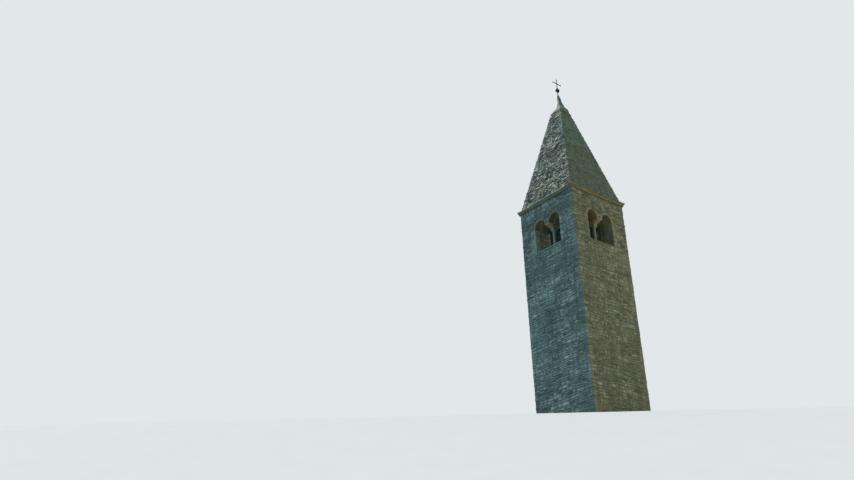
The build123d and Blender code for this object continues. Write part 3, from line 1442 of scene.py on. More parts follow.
@dataclass
class WindowSurround(Stonework):
    """The stones round one twin window: sill slabs, jambs, both arch rings and the linings behind them."""

    face_finish: Material
    face_depth: float = 0.29
    stones_per_arch: int = 13
    soffit_stones: int = 10
    joint: float = 0.012
    proud: float = 0.018
    lining: float = 0.012
    behind: float = 0.06
    jamb_depth: float = 0.03
    stop_width: float = 0.15
    stop_depth: float = 0.06
    stop_tint: float = 0.93
    ring_tint: Pair = (0.74, 0.82)
    soffit_tint: Pair = (0.45, 0.62)
    reveal_tint: Pair = (0.2, 0.4)
    damp_tint: Pair = (0.0, 0.06)
    sill_tint: Pair = (0.3, 0.75)
    sill_ends: float = 0.06
    sill_depth: float = 0.055
    sill_parting: float = -0.42
    sill_nosing: float = 0.045

    seed = 300
    face_seed = 350
    name = "{side}_window_surround"
    slot = "dressed_stone"
    wear = Wear(0.012, 0.006, 0.0022)

    def lining_tint(self, usual: Pair) -> float:
        """Gives the tint of a lining stone, painted dark as shade in the two windows that face away."""
        return self.mason.between(*(self.damp_tint if self.side in FAR_SIDES else usual))

    @property
    def wall(self) -> Place:
        """The placing on the wall's face."""
        return wall_place(self.side, self.sizes.half)

    def lay_arches(self) -> None:
        """Lays the voussoirs of both arches, and the rows of soffit stones behind them."""
        mason, sizes = self.mason, self.sizes
        inner = sizes.light_radius - self.lining
        half_joint = self.joint / 2 / sizes.light_radius
        rows = (-self.face_depth, -(self.face_depth + sizes.thickness) / 2, -sizes.thickness)
        even = np.linspace(0, 1, self.stones_per_arch + 1)
        for centre in (-sizes.light_centre, sizes.light_centre):
            ring = arch_place(self.wall, centre, sizes.springing)
            soffit = reordered(ring, (0, 2, 1), (1, 1, -1))
            cuts = mason.split(self.stones_per_arch, 1.0, 1.0) * 0.4 + even * 0.6
            for start, stop in pairwise(cuts * math.pi):
                ends = (start + half_joint, stop - half_joint)
                radii = (inner, sizes.light_radius + self.plan.ring - mason.between(0.004, 0.02))
                out = self.proud + mason.between(-0.005, 0.008)
                tint = mason.between(*self.ring_tint)
                mason.add(block(ends, radii, -self.face_depth, (out, out)), ring, tint, 0.003)
            for near, far in pairwise(rows):
                for start, stop in pairwise(mason.split(self.soffit_stones, 1.0, 1.0) * math.pi):
                    ends = (start + half_joint, stop - half_joint)
                    face = inner + mason.between(0, 0.006)
                    depth = (-near + 0.006, -far - 0.006)
                    corners = block(ends, depth, sizes.light_radius + self.behind, (face, face))
                    mason.add(corners, soffit, self.lining_tint(self.soffit_tint), 0.002)

    def lay_jambs(self) -> None:
        """Lays the upright sides: long and short stones on the face, small ones through the wall.

        All windows but the front one have a pale stop on the wall's inner face, reaching past the jambs.
        """
        mason, sizes, wall = self.mason, self.sizes, self.wall
        edge, inside = sizes.opening_half, -sizes.thickness
        for course, (low, high) in enumerate(pairwise(self.plan.levels())):
            if low < sizes.sill - 0.001 or high > sizes.springing + 0.001:
                continue
            for end, sign in enumerate((-1, 1)):
                length = self.plan.jamb(course, end) - self.joint / 2
                ends = mirrored(sign, edge - self.lining, edge + length)
                stop = mirrored(sign, edge - self.stop_width, edge + 0.04)
                reveal = reordered(wall, (2, 1, 0), (sign, 1, -1))
                for rise in mason.parted(low, high, (0.45, 0.9), self.joint, shares=True):
                    out = self.proud + mason.between(-0.006, 0.006)
                    self.facing.add(block(ends, rise, -self.jamb_depth, (out, out)), wall, loose=0.004)
                    for deep in mason.parted(self.jamb_depth, sizes.thickness, (0.2, 0.4), self.joint):
                        face = edge - mason.between(0.004, self.lining)
                        corners = block(deep, rise, edge + self.behind, (face, face))
                        mason.add(corners, reveal, self.lining_tint(self.reveal_tint), 0.003)
                    if self.side is not Side.FRONT:
                        corners = block(stop, rise, inside - self.stop_depth, (inside, inside))
                        mason.add(corners, wall, self.stop_tint, 0.003)

    def lay_sill(self) -> None:
        """Lays the sill slabs, two rows deep, with a small nosing."""
        mason, sizes = self.facing, self.sizes
        top = reordered(self.wall, (0, 2, 1), (1, 1, 1))
        half = sizes.opening_half + self.sill_ends
        for near, far in pairwise((-sizes.thickness, self.sill_parting, self.sill_nosing)):
            for ends in mason.parted(-half, half, (0.4, 0.75), self.joint):
                rise = sizes.sill + mason.between(0.006, 0.016)
                depth = (near + 0.006, far - 0.006)
                corners = block(ends, depth, sizes.sill - self.sill_depth, (rise, rise))
                mason.add(corners, top, mason.between(*self.sill_tint), 0.004)

    def lay(self) -> None:
        """Lays all the stones of the surround."""
        self.lay_arches()
        self.lay_jambs()
        self.lay_sill()

    def build(self, finish: Material) -> None:
        """Builds the arches and linings, and apart from them the jambs and sill on the wall's face.

        Args:
            finish: the material of the arches and linings.
        """
        self.facing = Masonry(self.template, self.face_seed + self.side.value)
        super().build(finish)
        jambs = self.facing.join(self.titled("{side}_window_jambs"), Wear(bulge=0.008))
        dress(jambs, self.face_finish)


@dataclass
class WindowOrder:
    """What stands between a window's two lights: the column, its capital and the crutch impost."""

    sizes: TowerSizes
    finishes: Finishes
    shaft_sides: int = 28
    foot_height: float = 0.09
    neck: float = 0.112
    neck_ring: float = 0.035
    lid_edge: float = 0.035
    lip: float = 0.07
    tint: float = 0.6
    damp_tint: float = 0.05

    def model_column(self) -> Piece:
        """Models the column of the front window, from its square foot to its neck.

        Returns:
            The column.
        """
        low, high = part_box("front_window_column")
        foot_half = (high.x - low.x) / 2
        neck = -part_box("front_window_capital")[0].x
        radius = foot_half * 0.76
        size = (2 * foot_half, 2 * foot_half, self.foot_height)
        foot = squared("column_foot", size, (0, 0, low.z + self.foot_height / 2))
        with editing(foot):
            bpy.ops.mesh.subdivide(number_cuts=2)
        add_modifier(foot, "BEVEL", width=0.012, segments=2, limit_method="ANGLE")
        base = low.z + self.foot_height
        profile = [(radius * 0.98, base - 0.004)]
        profile += [(radius + 0.026 * math.sin(math.pi * k / 6), base + 0.056 * k / 6) for k in range(7)]
        profile += [(radius + 0.006, base + 0.062), (radius + 0.006, base + 0.07), (radius, base + 0.078)]
        rise = high.z - 0.03 - base - 0.078
        profile += [(radius - 0.009 * (k / 8) ** 1.6, base + 0.078 + rise * k / 8) for k in range(1, 9)]
        profile += [(neck * 0.86, high.z)]
        return joined("column_model", [foot, turned("column_shaft", profile, self.shaft_sides)])

    def model_capital(self) -> Piece:
        """Models the front window's capital: a neck ring and a cushion that spreads from round to square.

        Returns:
            The capital.
        """
        low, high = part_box("front_window_capital")
        neck, ring = self.neck, self.neck_ring
        steps = ((0.93, 0.0), (1.0, 0.3), (1.0, 0.7), (0.93, 1.0))
        capital = turned("capital_neck", [(neck * out, low.z + ring * up) for out, up in steps], 24)
        ring_top = low.z + ring - 0.001
        with editing(capital):
            pick_faces(capital, lambda face: face.normal.z > 0.9 and face.calc_center_median().z > ring_top)
            bpy.ops.mesh.delete(type="ONLY_FACE")
        lid = squared("capital_lid", (high.x - low.x, high.y - low.y, 1), (0, 0, high.z), "plane")
        lid_foot = high.z - 0.03
        with editing(lid):
            bpy.ops.mesh.subdivide(number_cuts=5)
            bpy.ops.mesh.extrude_region_move(TRANSFORM_OT_translate={"value": (0, 0, -self.lid_edge)})
            pick_faces(lid, lambda face: abs(face.normal.z) > 0.9 and face.calc_center_median().z < lid_foot)
            bpy.ops.mesh.delete(type="FACE")
        capital = joined("capital_model", [capital, lid])
        bridge = {"interpolation": "LINEAR", "profile_shape": "SPHERE", "profile_shape_factor": 0.35}
        with editing(capital):
            bpy.ops.mesh.select_all(action="DESELECT")
            bpy.ops.mesh.select_mode(type="EDGE")
            bpy.ops.mesh.select_non_manifold()
            bpy.ops.mesh.bridge_edge_loops(number_cuts=4, **bridge)
            face_outwards()
        return capital

    def model_impost(self) -> Piece:
        """Models the front window's impost: a lip as deep as the wall, drawn in to the capital.

        Returns:
            The impost.
        """
        low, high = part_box("front_window_impost")
        width, depth = high.x - low.x, high.y - low.y
        seat_low, seat_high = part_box("front_window_capital")
        seat = (seat_high.x - seat_low.x, seat_high.y - seat_low.y)
        lip_low = high.z - self.lip
        impost = squared("impost_model", (width, depth, self.lip), (0, 0, (lip_low + high.z) / 2))
        with editing(impost):
            pick_faces(impost, lambda face: face.normal.z < -0.9)
            steps = 5
            previous = (width, depth, lip_low)
            for step in range(1, steps + 1):
                drawn = math.sin(math.pi / 2 * step / steps) * 0.55 + step / steps * 0.45
                across = width + (seat[0] - width) * drawn
                deep = depth + (seat[1] - depth) * drawn
                level = lip_low + (low.z - lip_low) * step / steps
                factor = (across / previous[0], deep / previous[1], 1)
                draw_out((0, 0, level - previous[2]), factor, (0, 0, level))
                previous = (across, deep, level)
            bpy.ops.mesh.select_all(action="SELECT")
            bpy.ops.mesh.subdivide(number_cuts=2)
            face_outwards()
        wear_edges(impost, 0.014, 50)
        return impost

    def build(self) -> None:
        """Models the three pieces once and copies them to the four windows."""
        makers = (
            ("column", self.model_column, 0.0015, self.finishes.column_stone),
            ("capital", self.model_capital, 0.003, self.finishes.column_stone),
            ("impost", self.model_impost, 0.005, self.finishes.arch_stone),
        )
        for kind, make, lumps, finish in makers:
            model = make()
            for side in Side:
                copy = added(f"{side.label}_window_{kind}_stone", model.data.copy())
                copy.data.transform(side.turn @ Matrix.Translation((0, -self.sizes.column_place, 0)))
                roughen(copy, lumps, 14, side.value * 5.0)
                count = len(copy.data.vertices)
                # Painted shade: the imposts of the two windows that face away take a dark tint.
                damp = kind == "impost" and side in FAR_SIDES
                give_attribute(copy, "tint", np.full(count, self.damp_tint if damp else self.tint))
                give_attribute(copy, "rim", np.zeros(count))
                dress(copy, finish, [f"{side.label}_window_{kind}"])
            bpy.data.objects.remove(model)


# Eaves and spire


@dataclass
class EaveTiles(Stonework):
    """The rows of flat tiles under the eave of one side, with a tile that turns its left corner."""

    joint: float = 0.01
    tile_depth: float = 0.2
    rows: int = 3
    first_out: float = 0.004
    row_step: float = 0.018
    half_bed: float = 0.003
    tile: Pair = (0.22, 0.3)
    corner_tile: Pair = (0.18, 0.26)

    seed = 400
    name = "{side}_eave_tiles"
    slot = "cornice_brick"
    wear = Wear(0.006, 0.003, 0.0015)

    def lay(self) -> None:
        """Lays the rows, each a little further out than the one below."""
        mason, sizes = self.mason, self.sizes
        height = (sizes.cornice_top - sizes.wall_top) / self.rows
        for row in range(self.rows):
            reach = sizes.cornice_half + self.first_out + row * self.row_step
            place = wall_place(self.side, reach)
            low = sizes.wall_top + row * height
            rise = (low + self.half_bed, low + height - self.half_bed)
            own, following = reversed(self.corner_tile) if row % 2 else self.corner_tile
            mason.add(block((-reach, -reach + own), rise, -following, (0, 0)), place, loose=0.004)
            for ends in mason.parted(-reach + own, reach - following, self.tile, self.joint):
                front = mason.between(-0.01, 0.008)
                mason.add(block(ends, rise, -self.tile_depth, (front, front)), place, loose=0.004)


@dataclass
class EaveSlabs(Stonework):
    """The thin projecting slabs of one side and the low course that weathers up to the spire's foot."""

    thickness: float = 0.063
    joint: float = 0.009
    corner: float = 0.5
    corner_tint: float = 0.85
    pale: Pair = (0.75, 1.0)
    slab: Pair = (0.38, 0.66)
    foot_stone: Pair = (0.22, 0.42)

    seed = 500
    name = "{side}_eave_slab_stones"
    slot = "slab_stone"
    wear = Wear(0.009, 0.004, 0.0022)
    replaced = ("{side}_eave_slabs",)

    def lay(self) -> None:
        """Lays the slabs in place of the CAD eave, and the low course behind them."""
        mason, sizes = self.mason, self.sizes
        reach = sizes.eave_half
        place = wall_place(self.side, reach)
        back = -(reach - sizes.inner_half - 0.03)
        low, high = sizes.cornice_top + 0.001, sizes.cornice_top + self.thickness
        tip = (-reach - 0.008, -reach + self.corner)
        corners = block(tip, (low, high), -self.corner + 0.01, (0.008, 0.0))
        mason.add(corners, place, self.corner_tint, 0.003)
        half = reach - self.corner
        for ends in mason.parted(-half, half, self.slab, self.joint):
            front = mason.between(-0.03, 0.004)
            levels = (low, high + mason.between(-0.008, 0.004))
            # Painted highlight: on the left and back the slabs take the pale end of the palette, as if their
            # edges were lit.
            tint = mason.between(*self.pale) if self.side in RAGGED_SIDES else None
            mason.add(block(ends, levels, back, (front, front - 0.006)), place, tint, 0.004)
        foot = wall_place(self.side, sizes.spire_half)
        back = -(sizes.spire_half - sizes.inner_half - 0.05)
        step = (high - 0.006, sizes.spire_base + 0.012)
        half = sizes.spire_half + 0.06
        for ends in mason.parted(-half, half, self.foot_stone, self.joint):
            front = mason.between(0.075, 0.115)
            mason.add(block(ends, step, back, (front, front - 0.07)), foot, loose=0.006)


@dataclass(frozen=True)
class SpirePlan:
    """The rows of the spire, which its four faces and its hips share, up over the cap's shoulder."""

    sizes: TowerSizes
    row: float = 0.088
    shoulder: float = 0.34
    hip_long: float = 0.3
    hip_short: float = 0.15

    def rows(self) -> list[Pair]:
        """The lower and upper level of every row.

        Returns:
            The two levels of each row, from the lowest up.
        """
        random = np.random.default_rng(21)
        low, high = self.sizes.spire_base + 0.004, self.sizes.cap_top - self.shoulder
        parts = random.uniform(0.72, 1.28, round((high - low) / self.row))
        beds = low + np.concatenate(([0.0], np.cumsum(parts) / parts.sum())) * (high - low)
        return list(pairwise(beds.tolist()))

    def halves(self, low: float, high: float) -> Pair:
        """Half the spire's width at two levels."""
        return self.sizes.spire_half_at(low), self.sizes.spire_half_at(high)

    def hip(self, corner: int, row: int, first: bool) -> float:
        """The length of a hip stone on one of its two sides, in the same way as a corner stone's."""
        length = by_turns(corner, row, first, self.hip_long, self.hip_short)
        room = self.sizes.spire_half_at(self.sizes.spire_base + (row + 0.5) * self.row)
        return min(length * (1 + 0.25 * math.sin(row * 2.7 + corner * 1.3 + first)), room * 0.45)


@dataclass(frozen=True)
class SlabCut:
    """How roughly the slabs of a spire face are laid: their lengths, and how far their edges stand out."""

    shortest: float
    longest: float
    lip: Pair
    loose: float


RAGGED = SlabCut(0.11, 0.25, (0.014, 0.068), 0.013)
SMOOTH = SlabCut(0.2, 0.42, (0.008, 0.026), 0.005)


@dataclass
class SpireFace(Stonework):
    """One face of the spire: rows of thin rough slabs whose lower edges stand out."""

    cut: SlabCut
    joint: float = 0.014
    back: float = -0.11
    pale: Pair = (0.8, 1.0)

    seed = 600
    name = "{side}_spire_slabs"
    slot = "slab_stone"
    wear = Wear(0.012, 0.01, 0.004)

    def lay(self) -> None:
        """Lays the whole face; the lowest row of a ragged one is pale."""
        mason, plan, cut = self.mason, self.plan, self.cut
        place = slope_place(self.side, self.sizes)
        for row, (low, high) in enumerate(plan.rows()):
            left = plan.hip(self.side.value, row, True)
            right = plan.hip((self.side.value + 1) % 4, row, False)
            span = Span(*((left - half, half - right) for half in plan.halves(low, high)))
            for start, stop in pairwise(mason.split(span.width(), cut.shortest, cut.longest)):
                slab = span.part(start, stop, self.joint * mason.between(0.6, 1.5))
                gap = self.joint * mason.between(0.2, 0.7)
                drop = mason.between(-1.2, 0.7) * cut.loose
                lip = mason.between(*cut.lip)
                head = mason.between(-0.006, cut.lip[0])
                rise = (low + gap + drop, high - gap)
                # On ragged faces the lowest row takes the pale end of the palette, the painted highlight
                # colours.
                tint = mason.between(*self.pale) if row == 0 and cut is RAGGED else None
                mason.add(block(slab.low, rise, self.back, (lip, head), slab.high), place, tint, cut.loose)


@dataclass
class HipStones(Stonework):
    """The pale ragged stones along one hip of the spire, laid long and short in turn."""

    joint: float = 0.012
    tint: Pair = (0.2, 1.0)

    seed = 700
    name = "{corner}_hip_stones"
    slot = "slab_stone"
    wear = Wear(0.012, 0.008, 0.004)

    def lay(self) -> None:
        """Lays the hip at the side's left end."""
        mason, plan = self.mason, self.plan
        place = slope_place(self.side, self.sizes)
        for row, (low, high) in enumerate(plan.rows()):
            first, second = (
                plan.hip(self.side.value, row, own) - self.joint / 2 for own in (True, False)
            )
            below, above = plan.halves(low, high)
            lip = mason.between(0.012, 0.04)
            head = mason.between(0.0, 0.014)
            foot = (-below - mason.between(0.0, 0.05), first - below)
            top = (-above - mason.between(0.0, 0.014), first - above)
            rise = (low + self.joint * 0.4, high - self.joint * 0.4)
            corners = block(foot, rise, -second, (lip, head), top)
            mason.add(corners, place, mason.between(*self.tint), 0.01)


# Finial


@dataclass
class Finial:
    """The top of the spire: mortar cone, metal sleeve, rod, ball and cross."""

    sizes: TowerSizes
    finishes: Finishes
    seed: float = 3.0
    dome_height: float = 0.34
    dome_sides: int = 48
    dome_proud: float = 0.042
    cone_foot: float = 0.275
    cone_hollow: float = 1.6
    worn_heading: float = 135.0
    worn_depth: float = 0.2
    lean: float = 0.075
    lean_heading: float = -48.0
    ball_girth: float = 0.88
    ball_lean: float = 0.22
    bar_width: float = 0.06
    flare: float = 0.1
    flare_steps: tuple[Pair, ...] = ((0.45, 1.5), (0.25, 1.32), (0.18, 1.0), (0.12, 0.55))

    @property
    def lean_way(self) -> Pair:
        """The direction of the lean, along x and y."""
        heading = math.radians(self.lean_heading)
        return math.cos(heading), math.sin(heading)

    def lean_over(self, piece: Piece) -> None:
        """Pushes the mortar or the sleeve a little to one side, as they lean on the real spire.

        Args:
            piece: the mortar or the sleeve.
        """
        foot = self.sizes.cap_top - self.dome_height
        neck, top = (corner.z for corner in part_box("finial_sleeve"))
        levels = (foot, self.sizes.cap_top + 0.15, neck, top)
        amounts = (0.0, self.lean, self.lean * 0.6, 0.0)
        along_x, along_y = self.lean_way
        for vertex in piece.data.vertices:
            amount = float(np.interp(vertex.co.z, levels, amounts))
            vertex.co.x += amount * along_x
            vertex.co.y += amount * along_y

    def build_dome(self) -> None:
        """Models the mortared top: square over the last slabs, domed, then a hollow-sided cone."""
        sizes = self.sizes
        cone_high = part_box("mortar_cone")[1]
        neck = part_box("finial_sleeve")[1].x
        proud, foot_at = self.dome_proud, sizes.cap_top - self.dome_height
        steps = [(sizes.cap_base_half - 0.012, sizes.cap_base + 0.004, 24.0)]
        steps += [(sizes.spire_half_at(foot_at) - 0.006, foot_at - 0.05, 24.0)]
        steps += [(sizes.spire_half_at(foot_at) + proud, foot_at, 16.0)]
        for share in (0.25, 0.5, 0.72):
            level = foot_at + self.dome_height * share
            steps.append((sizes.spire_half_at(level) + proud - 0.01 * share, level, 14.0 - 8.0 * share))
        steps += [(0.34, sizes.cap_top - 0.06, 4.6), (0.3, sizes.cap_top + 0.01, 3.4)]
        rise = cone_high.z - sizes.cap_top
        for step in range(1, 11):
            share = step / 10
            radius = neck + (self.cone_foot - neck) * (1 - share) ** self.cone_hollow
            steps.append((radius, sizes.cap_top + rise * share, 2.0 + 1.2 * (1 - share)))
        radii, levels, powers = zip(*steps)
        dome = turned("spire_mortar_dome", list(zip(radii, levels)), self.dome_sides)
        for vertex in dome.data.vertices:
            angle = math.atan2(vertex.co.y, vertex.co.x)
            power = float(np.interp(vertex.co.z, levels, powers))
            rounding = (abs(math.cos(angle)) ** power + abs(math.sin(angle)) ** power) ** (-1 / power)
            worn = max(0.0, math.cos(angle - math.radians(self.worn_heading))) ** 3
            height = max(0.0, 1 - abs(vertex.co.z - sizes.cap_top + 0.1) / self.dome_height)
            factor = rounding * (1 - self.worn_depth * worn * height)
            vertex.co.x *= factor
            vertex.co.y *= factor
        add_modifier(dome, "SUBSURF", levels=1, render_levels=1)
        roughen(dome, 0.03, 5.5, self.seed)
        roughen(dome, 0.016, 15, self.seed)
        for vertex in dome.data.vertices:
            vertex.co.z = min(vertex.co.z, cone_high.z)
        self.lean_over(dome)
        dress(dome, self.finishes.cone_mortar, ["mortar_cone", "spire_cap_block"], smooth=60)

    def build_sleeve(self) -> None:
        """Models the sheet-metal sleeve with a foot flange, two bands and a rolled top."""
        low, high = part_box("finial_sleeve")
        foot, tip, rise = high.x, high.x * 0.567, high.z - low.z
        profile = [(foot * 1.02, low.z), (foot * 1.06, low.z + 0.006), (foot * 1.0, low.z + 0.016)]
        for share in (0.3, 0.68):
            radius = foot + (tip - foot) * share
            level = low.z + rise * share
            profile += [(radius, level - 0.012), (radius + 0.006, level - 0.006)]
            profile += [(radius + 0.006, level + 0.006), (radius - 0.001, level + 0.012)]
        profile += [(tip, high.z - 0.03), (tip + 0.008, high.z - 0.022), (tip + 0.008, high.z - 0.008)]
        profile += [(tip * 0.9, high.z), (tip * 0.62, high.z + 0.002)]
        sleeve = turned("finial_sleeve_sheet", profile, 32)
        self.lean_over(sleeve)
        dress(sleeve, self.finishes.sleeve, ["finial_sleeve"], smooth=40)

    def build_ball(self) -> None:
        """Models the ball, narrow and a little askew, with a seam band and two collars."""
        low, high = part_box("finial_ball")
        centre, radius = (low.z + high.z) / 2, high.x
        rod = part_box("finial_rod")[1].x
        profile = [(rod * 1.25, low.z - 0.012), (rod * 1.7, low.z - 0.008), (rod * 1.7, low.z + 0.01)]
        power = 1.62
        steps = 20
        for step in range(2, steps - 1):
            angle = math.pi * step / steps
            up, out = -math.cos(angle), math.sin(angle)
            scale = (abs(up) ** power + out**power) ** (-1 / power)
            profile.append((radius * out * scale * 0.985, centre + radius * up * scale))
        profile += [(rod * 1.7, high.z - 0.01), (rod * 1.7, high.z + 0.008), (rod * 1.25, high.z + 0.012)]
        ball = turned("finial_ball_shell", profile, 32)
        band = ((0.9, -0.011), (1.0, -0.0088), (1.0, 0.0088), (0.9, 0.011))
        seam = turned("seam_band", [(radius * out, centre + up) for out, up in band], 32)
        ball = joined("finial_ball_shell", [ball, seam])
        along_x, along_y = self.lean_way
        for vertex in ball.data.vertices:
            aside = (centre - vertex.co.z) * self.ball_lean
            vertex.co.x = vertex.co.x * self.ball_girth + aside * along_x
            vertex.co.y = vertex.co.y * self.ball_girth + aside * along_y
        dress(ball, self.finishes.iron, ["finial_ball"], smooth=40)

    def build_cross(self) -> None:
        """Models the forged cross: flat bars that flare at the three free ends, and a collar at the foot."""
        low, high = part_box("cross")
        rod_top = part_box("finial_rod")[1]
        width, reach = self.bar_width, high.x
        centre = Vector((0, 0, rod_top.z + reach))
        cross = squared("cross_bars", (width, high.y - low.y, width), centre)
        arms = (
            (Vector((1, 0, 0)), reach),
            (Vector((-1, 0, 0)), reach),
            (Vector((0, 0, 1)), high.z - (rod_top.z + reach)),
            (Vector((0, 0, -1)), rod_top.z + reach - low.z + 0.03),
        )
        with editing(cross):
            for direction, length in arms:
                self.draw_arm(cross, centre, direction, length)
            face_outwards()
        wear_edges(cross, 0.0035, 25)
        steps = ((1.1, -0.05), (1.5, -0.042), (1.5, -0.004), (1.05, 0.012))
        collar = turned("cross_collar", [(rod_top.x * out, rod_top.z + up) for out, up in steps], 24)
        cross = joined("cross_forged", [cross, collar])
        dress(cross, self.finishes.iron, ["cross"], smooth=30)

    def draw_arm(self, cross: Piece, centre: Vector, direction: Vector, length: float) -> None:
        """Draws one arm out of the crossing; all but the lower one end in a rounded flare.

        Args:
            cross: the cross in edit mode.
            centre: the middle of the crossing.
            direction: the way that the arm points.
            length: how far its end is from the middle.
        """

        def at_tip(face: bmesh.types.BMFace) -> bool:
            """Says whether a face is where the arm starts."""
            return face.normal.dot(direction) > 0.9 and (face.calc_center_median() - at).length < 0.01

        at = centre + direction * (self.bar_width / 2)
        pick_faces(cross, at_tip)
        stem = length - self.bar_width / 2
        steps = [(stem, 0.78)]
        if direction.z >= 0:
            steps = [(stem - self.flare, 0.8)]
            steps += [(self.flare * share, factor) for share, factor in self.flare_steps]
        for step, factor in steps:
            at = at + direction * step
            draw_out(direction * step, (1, 1, factor) if abs(direction.x) > 0.5 else (factor, 1, 1), at)

    def build(self) -> None:
        """Models the whole finial; the rod keeps its CAD shape."""
        self.build_dome()
        self.build_sleeve()
        self.build_ball()
        self.build_cross()


# Belfry floor


@dataclass
class BelfryFloor:
    """The belfry floor: beams with worn edges and a deck of separate boards."""

    finishes: Finishes
    beam_width: float = 0.2
    board_width: float = 0.19
    board_gap: float = 0.006

    def worn_bar(self, name: str, low: Vector, high: Vector, bevel: float, seed: float) -> Piece:
        """Models one beam or board with worn edges.

        Args:
            name: the name of the new piece.
            low, high: its lowest and highest corners.
            bevel: how far its edges are worn.
            seed: where in the noise its lumps lie.

        Returns:
            The piece.
        """
        bar = squared(name, high - low, (low + high) / 2)
        with editing(bar):
            for share in (0.2, 0.4, 0.6, 0.8):
                bpy.ops.mesh.select_all(action="SELECT")
                bpy.ops.mesh.bisect(plane_co=tuple(low.lerp(high, share)), plane_no=(1, 0, 0))
        wear_edges(bar, bevel, 40)
        roughen(bar, bevel * 0.5, 3, seed)
        return bar

    def lay(self, name: str, node: str, rows: Sequence[Pair], bevel: float, seed_step: float) -> None:
        """Lays a row of beams or boards in place of their CAD node.

        Args:
            name: the name of the new piece.
            node: the node that it replaces.
            rows: where each bar starts and stops across the floor.
            bevel: how far its edges are worn.
            seed_step: how far apart in the noise two bars lie.
        """
        low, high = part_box(node)
        bars = [
            self.worn_bar(
                f"{name}_{index}",
                Vector((low.x, start, low.z)),
                Vector((high.x, stop, high.z)),
                bevel,
                index * seed_step,
            )
            for index, (start, stop) in enumerate(rows)
        ]
        dress(joined(name, bars), self.finishes.timber, [node])

    def build(self) -> None:
        """Models the beams and the boards."""
        deck_low, deck_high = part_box("belfry_floor_deck")
        across, half_gap = deck_high.y - deck_low.y, self.board_gap / 2
        pitch, half = (across + 0.016) / 3, self.beam_width / 2
        beams = [(middle - half, middle + half) for middle in (-pitch, 0.0, pitch)]
        self.lay("belfry_beams_worn", "belfry_floor_beams", beams, 0.012, 1.0)
        count = round(across / self.board_width)
        pitch = across / count
        starts = [deck_low.y + index * pitch for index in range(count)]
        boards = [(start + half_gap, start + pitch - half_gap) for start in starts]
        self.lay("belfry_deck_boards", "belfry_floor_deck", boards, 0.004, 1.7)


# Stage


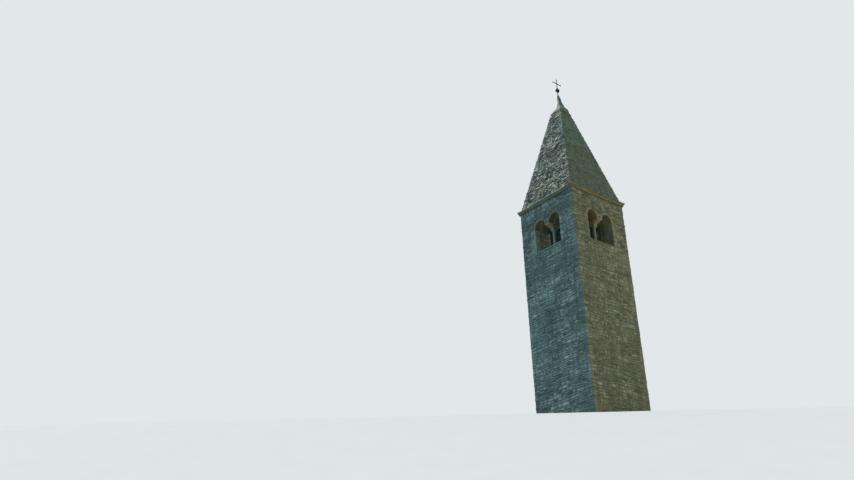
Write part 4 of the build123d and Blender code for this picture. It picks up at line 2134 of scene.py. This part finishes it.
@dataclass
class Studio:
    """The floor that falls away towards the camera, the soft lamps, the pale backdrop and the camera."""

    finishes: Finishes
    sizes: TowerSizes
    eye: Vector = Vector((-35.05, -31.64, -11.75))
    heading: float = 53.03
    pitch: float = 26.98
    roll: float = -1.3
    lens: float = 35.83
    floor_reach: float = 110.0
    crest_round: float = 0.6
    fall: float = 0.404

    def build_floor(self) -> None:
        """Makes the floor: level under the tower, with a rounded crest and a slope down past the camera."""
        ahead = -Vector((math.cos(math.radians(self.heading)), math.sin(math.radians(self.heading)), 0))
        across = Vector((-ahead.y, ahead.x, 0))
        edge = self.sizes.half * (abs(ahead.x) + abs(ahead.y)) + 0.05
        floor = primitive("grid", "floor", x_subdivisions=120, y_subdivisions=2, size=2)
        settle(floor)
        for vertex in floor.data.vertices:
            reach = math.sinh(vertex.co.x * 6) / math.sinh(6) * self.floor_reach
            drop = (math.hypot(reach, self.crest_round) - self.crest_round) * self.fall if reach > 0 else 0.0
            level = Vector((0, 0, drop))
            vertex.co = ahead * (reach + edge) + across * vertex.co.y * self.floor_reach - level
        with editing(floor):
            face_outwards()
        floor.data.materials.append(self.finishes.floor)
        bpy.ops.object.shade_smooth()

    def add_sun(self, name: str, towards: Vector, strength: float, color: Color, softness: float) -> None:
        """Adds a soft lamp that shines evenly from one direction.

        Args:
            name: the lamp's name.
            towards: the direction from the tower to the lamp.
            strength: its strength.
            color: its colour.
            softness: how wide the lamp looks, in degrees.
        """
        lamp = bpy.data.lights.new(name, "SUN")
        lamp.energy = strength
        lamp.color = color
        lamp.angle = math.radians(softness)
        holder = added(name, lamp)
        holder.rotation_mode = "QUATERNION"
        holder.rotation_quaternion = towards.to_track_quat("Z", "Y")

    def build_world(self, backdrop: Color, ambient: Color, strength: float) -> None:
        """Makes the world: an even soft light, and a pale backdrop for the camera and reflections.

        Args:
            backdrop: the screen colour that the camera sees.
            ambient: the linear colour of the even light.
            strength: the strength of the even light.
        """
        world = bpy.data.worlds.new("studio")
        bpy.context.scene.world = world
        tree = NodeTree(world)
        seen = tree.node("ShaderNodeLightPath", output="Is Camera Ray")
        for ray in ("Is Glossy Ray", "Is Transmission Ray"):
            seen = seen.highest(tree.node("ShaderNodeLightPath", output=ray))
        light = tree.node("ShaderNodeBackground", None, {"Color": [*ambient, 1], "Strength": strength})
        shown = tree.node("ShaderNodeBackground", None, {"Color": backdrop, "Strength": 1.0})
        both = tree.node("ShaderNodeMixShader", None, {0: seen, 1: light, 2: shown})
        tree.node("ShaderNodeOutputWorld", None, {"Surface": both})

    def build_camera(self) -> None:
        """Sets the camera where the photo was taken from, looking the same way."""
        heading, pitch, roll = (math.radians(angle) for angle in (self.heading, self.pitch, self.roll))
        level = Vector((math.cos(heading), math.sin(heading), 0))
        forward = level * math.cos(pitch) + Vector((0, 0, math.sin(pitch)))
        level_right = forward.cross(Vector((0, 0, 1))).normalized()
        level_up = level_right.cross(forward)
        right = level_right * math.cos(roll) + level_up * math.sin(roll)
        up = level_up * math.cos(roll) - level_right * math.sin(roll)
        camera = added("camera", bpy.data.cameras.new("camera"))
        camera.data.lens = self.lens
        camera.data.sensor_width = 36
        camera.data.clip_end = 500
        turn = Matrix((right, up, -forward)).transposed().to_4x4()
        camera.matrix_world = Matrix.Translation(self.eye) @ turn
        bpy.context.scene.camera = camera

    def build(self) -> None:
        """Makes the whole studio."""
        bpy.context.scene.view_settings.view_transform = "Standard"
        self.build_floor()
        self.build_world((226, 231, 234), (0.97, 1.0, 1.03), 0.5)
        self.add_sun("key", Vector((-0.3, 0.2, 0.93)), 2.5, (1.0, 0.98, 0.94), 12)
        self.add_sun("front_fill", Vector((0.25, -0.9, 0.25)), 0.75, (1.0, 0.96, 0.9), 40)
        self.add_sun("left_fill", Vector((-0.9, -0.15, 0.25)), 0.25, (0.92, 0.97, 1.0), 40)
        self.build_camera()


def dress_cad(finishes: Finishes) -> None:
    """Gives every CAD node that stays in view a finish of its own.

    Args:
        finishes: the tower's finishes.
    """
    by_slot = {
        "rubble_wall": finishes.wall_mortar,
        "dressed_stone": finishes.arch_stone,
        "cornice_brick": finishes.wall_mortar,
        "slab_stone": finishes.wall_mortar,
        "lime_mortar": finishes.cone_mortar,
        "floor_timber": finishes.timber,
        "sleeve_metal": finishes.sleeve,
        "wrought_iron": finishes.iron,
    }
    slots = {part["node"]: part["material_slot"] for part in frame["record"]["subparts"]}
    for name, node in frame["nodes"].items():
        node.data.materials.clear()
        node.data.materials.append(by_slot[slots[name]])


def main() -> None:
    """Builds the tower's dressing from the ground up, then the studio."""
    logging.basicConfig(level=logging.INFO, format="%(message)s")
    sizes = TowerSizes.read()
    finishes = Finishes(sizes)
    template = StoneTemplate()
    plan = CoursePlan(sizes)
    spire = SpirePlan(sizes)
    dress_cad(finishes)
    for side in Side:
        cut = RAGGED if side in RAGGED_SIDES else SMOOTH
        WallFacing(side, plan, template).build(finishes.rubble)
        CornerStones(side, plan, template).build(finishes.rubble)
        WindowSurround(side, plan, template, finishes.rubble).build(finishes.arch_stone)
        EaveTiles(side, plan, template).build(finishes.tile)
        EaveSlabs(side, plan, template).build(finishes.eave_slab)
        SpireFace(side, spire, template, cut).build(finishes.spire_slab)
        HipStones(side, spire, template).build(finishes.spire_slab)
    WindowOrder(sizes, finishes).build()
    Finial(sizes, finishes).build()
    BelfryFloor(finishes).build()
    Studio(finishes, sizes).build()


if __name__ == "__main__":
    main()
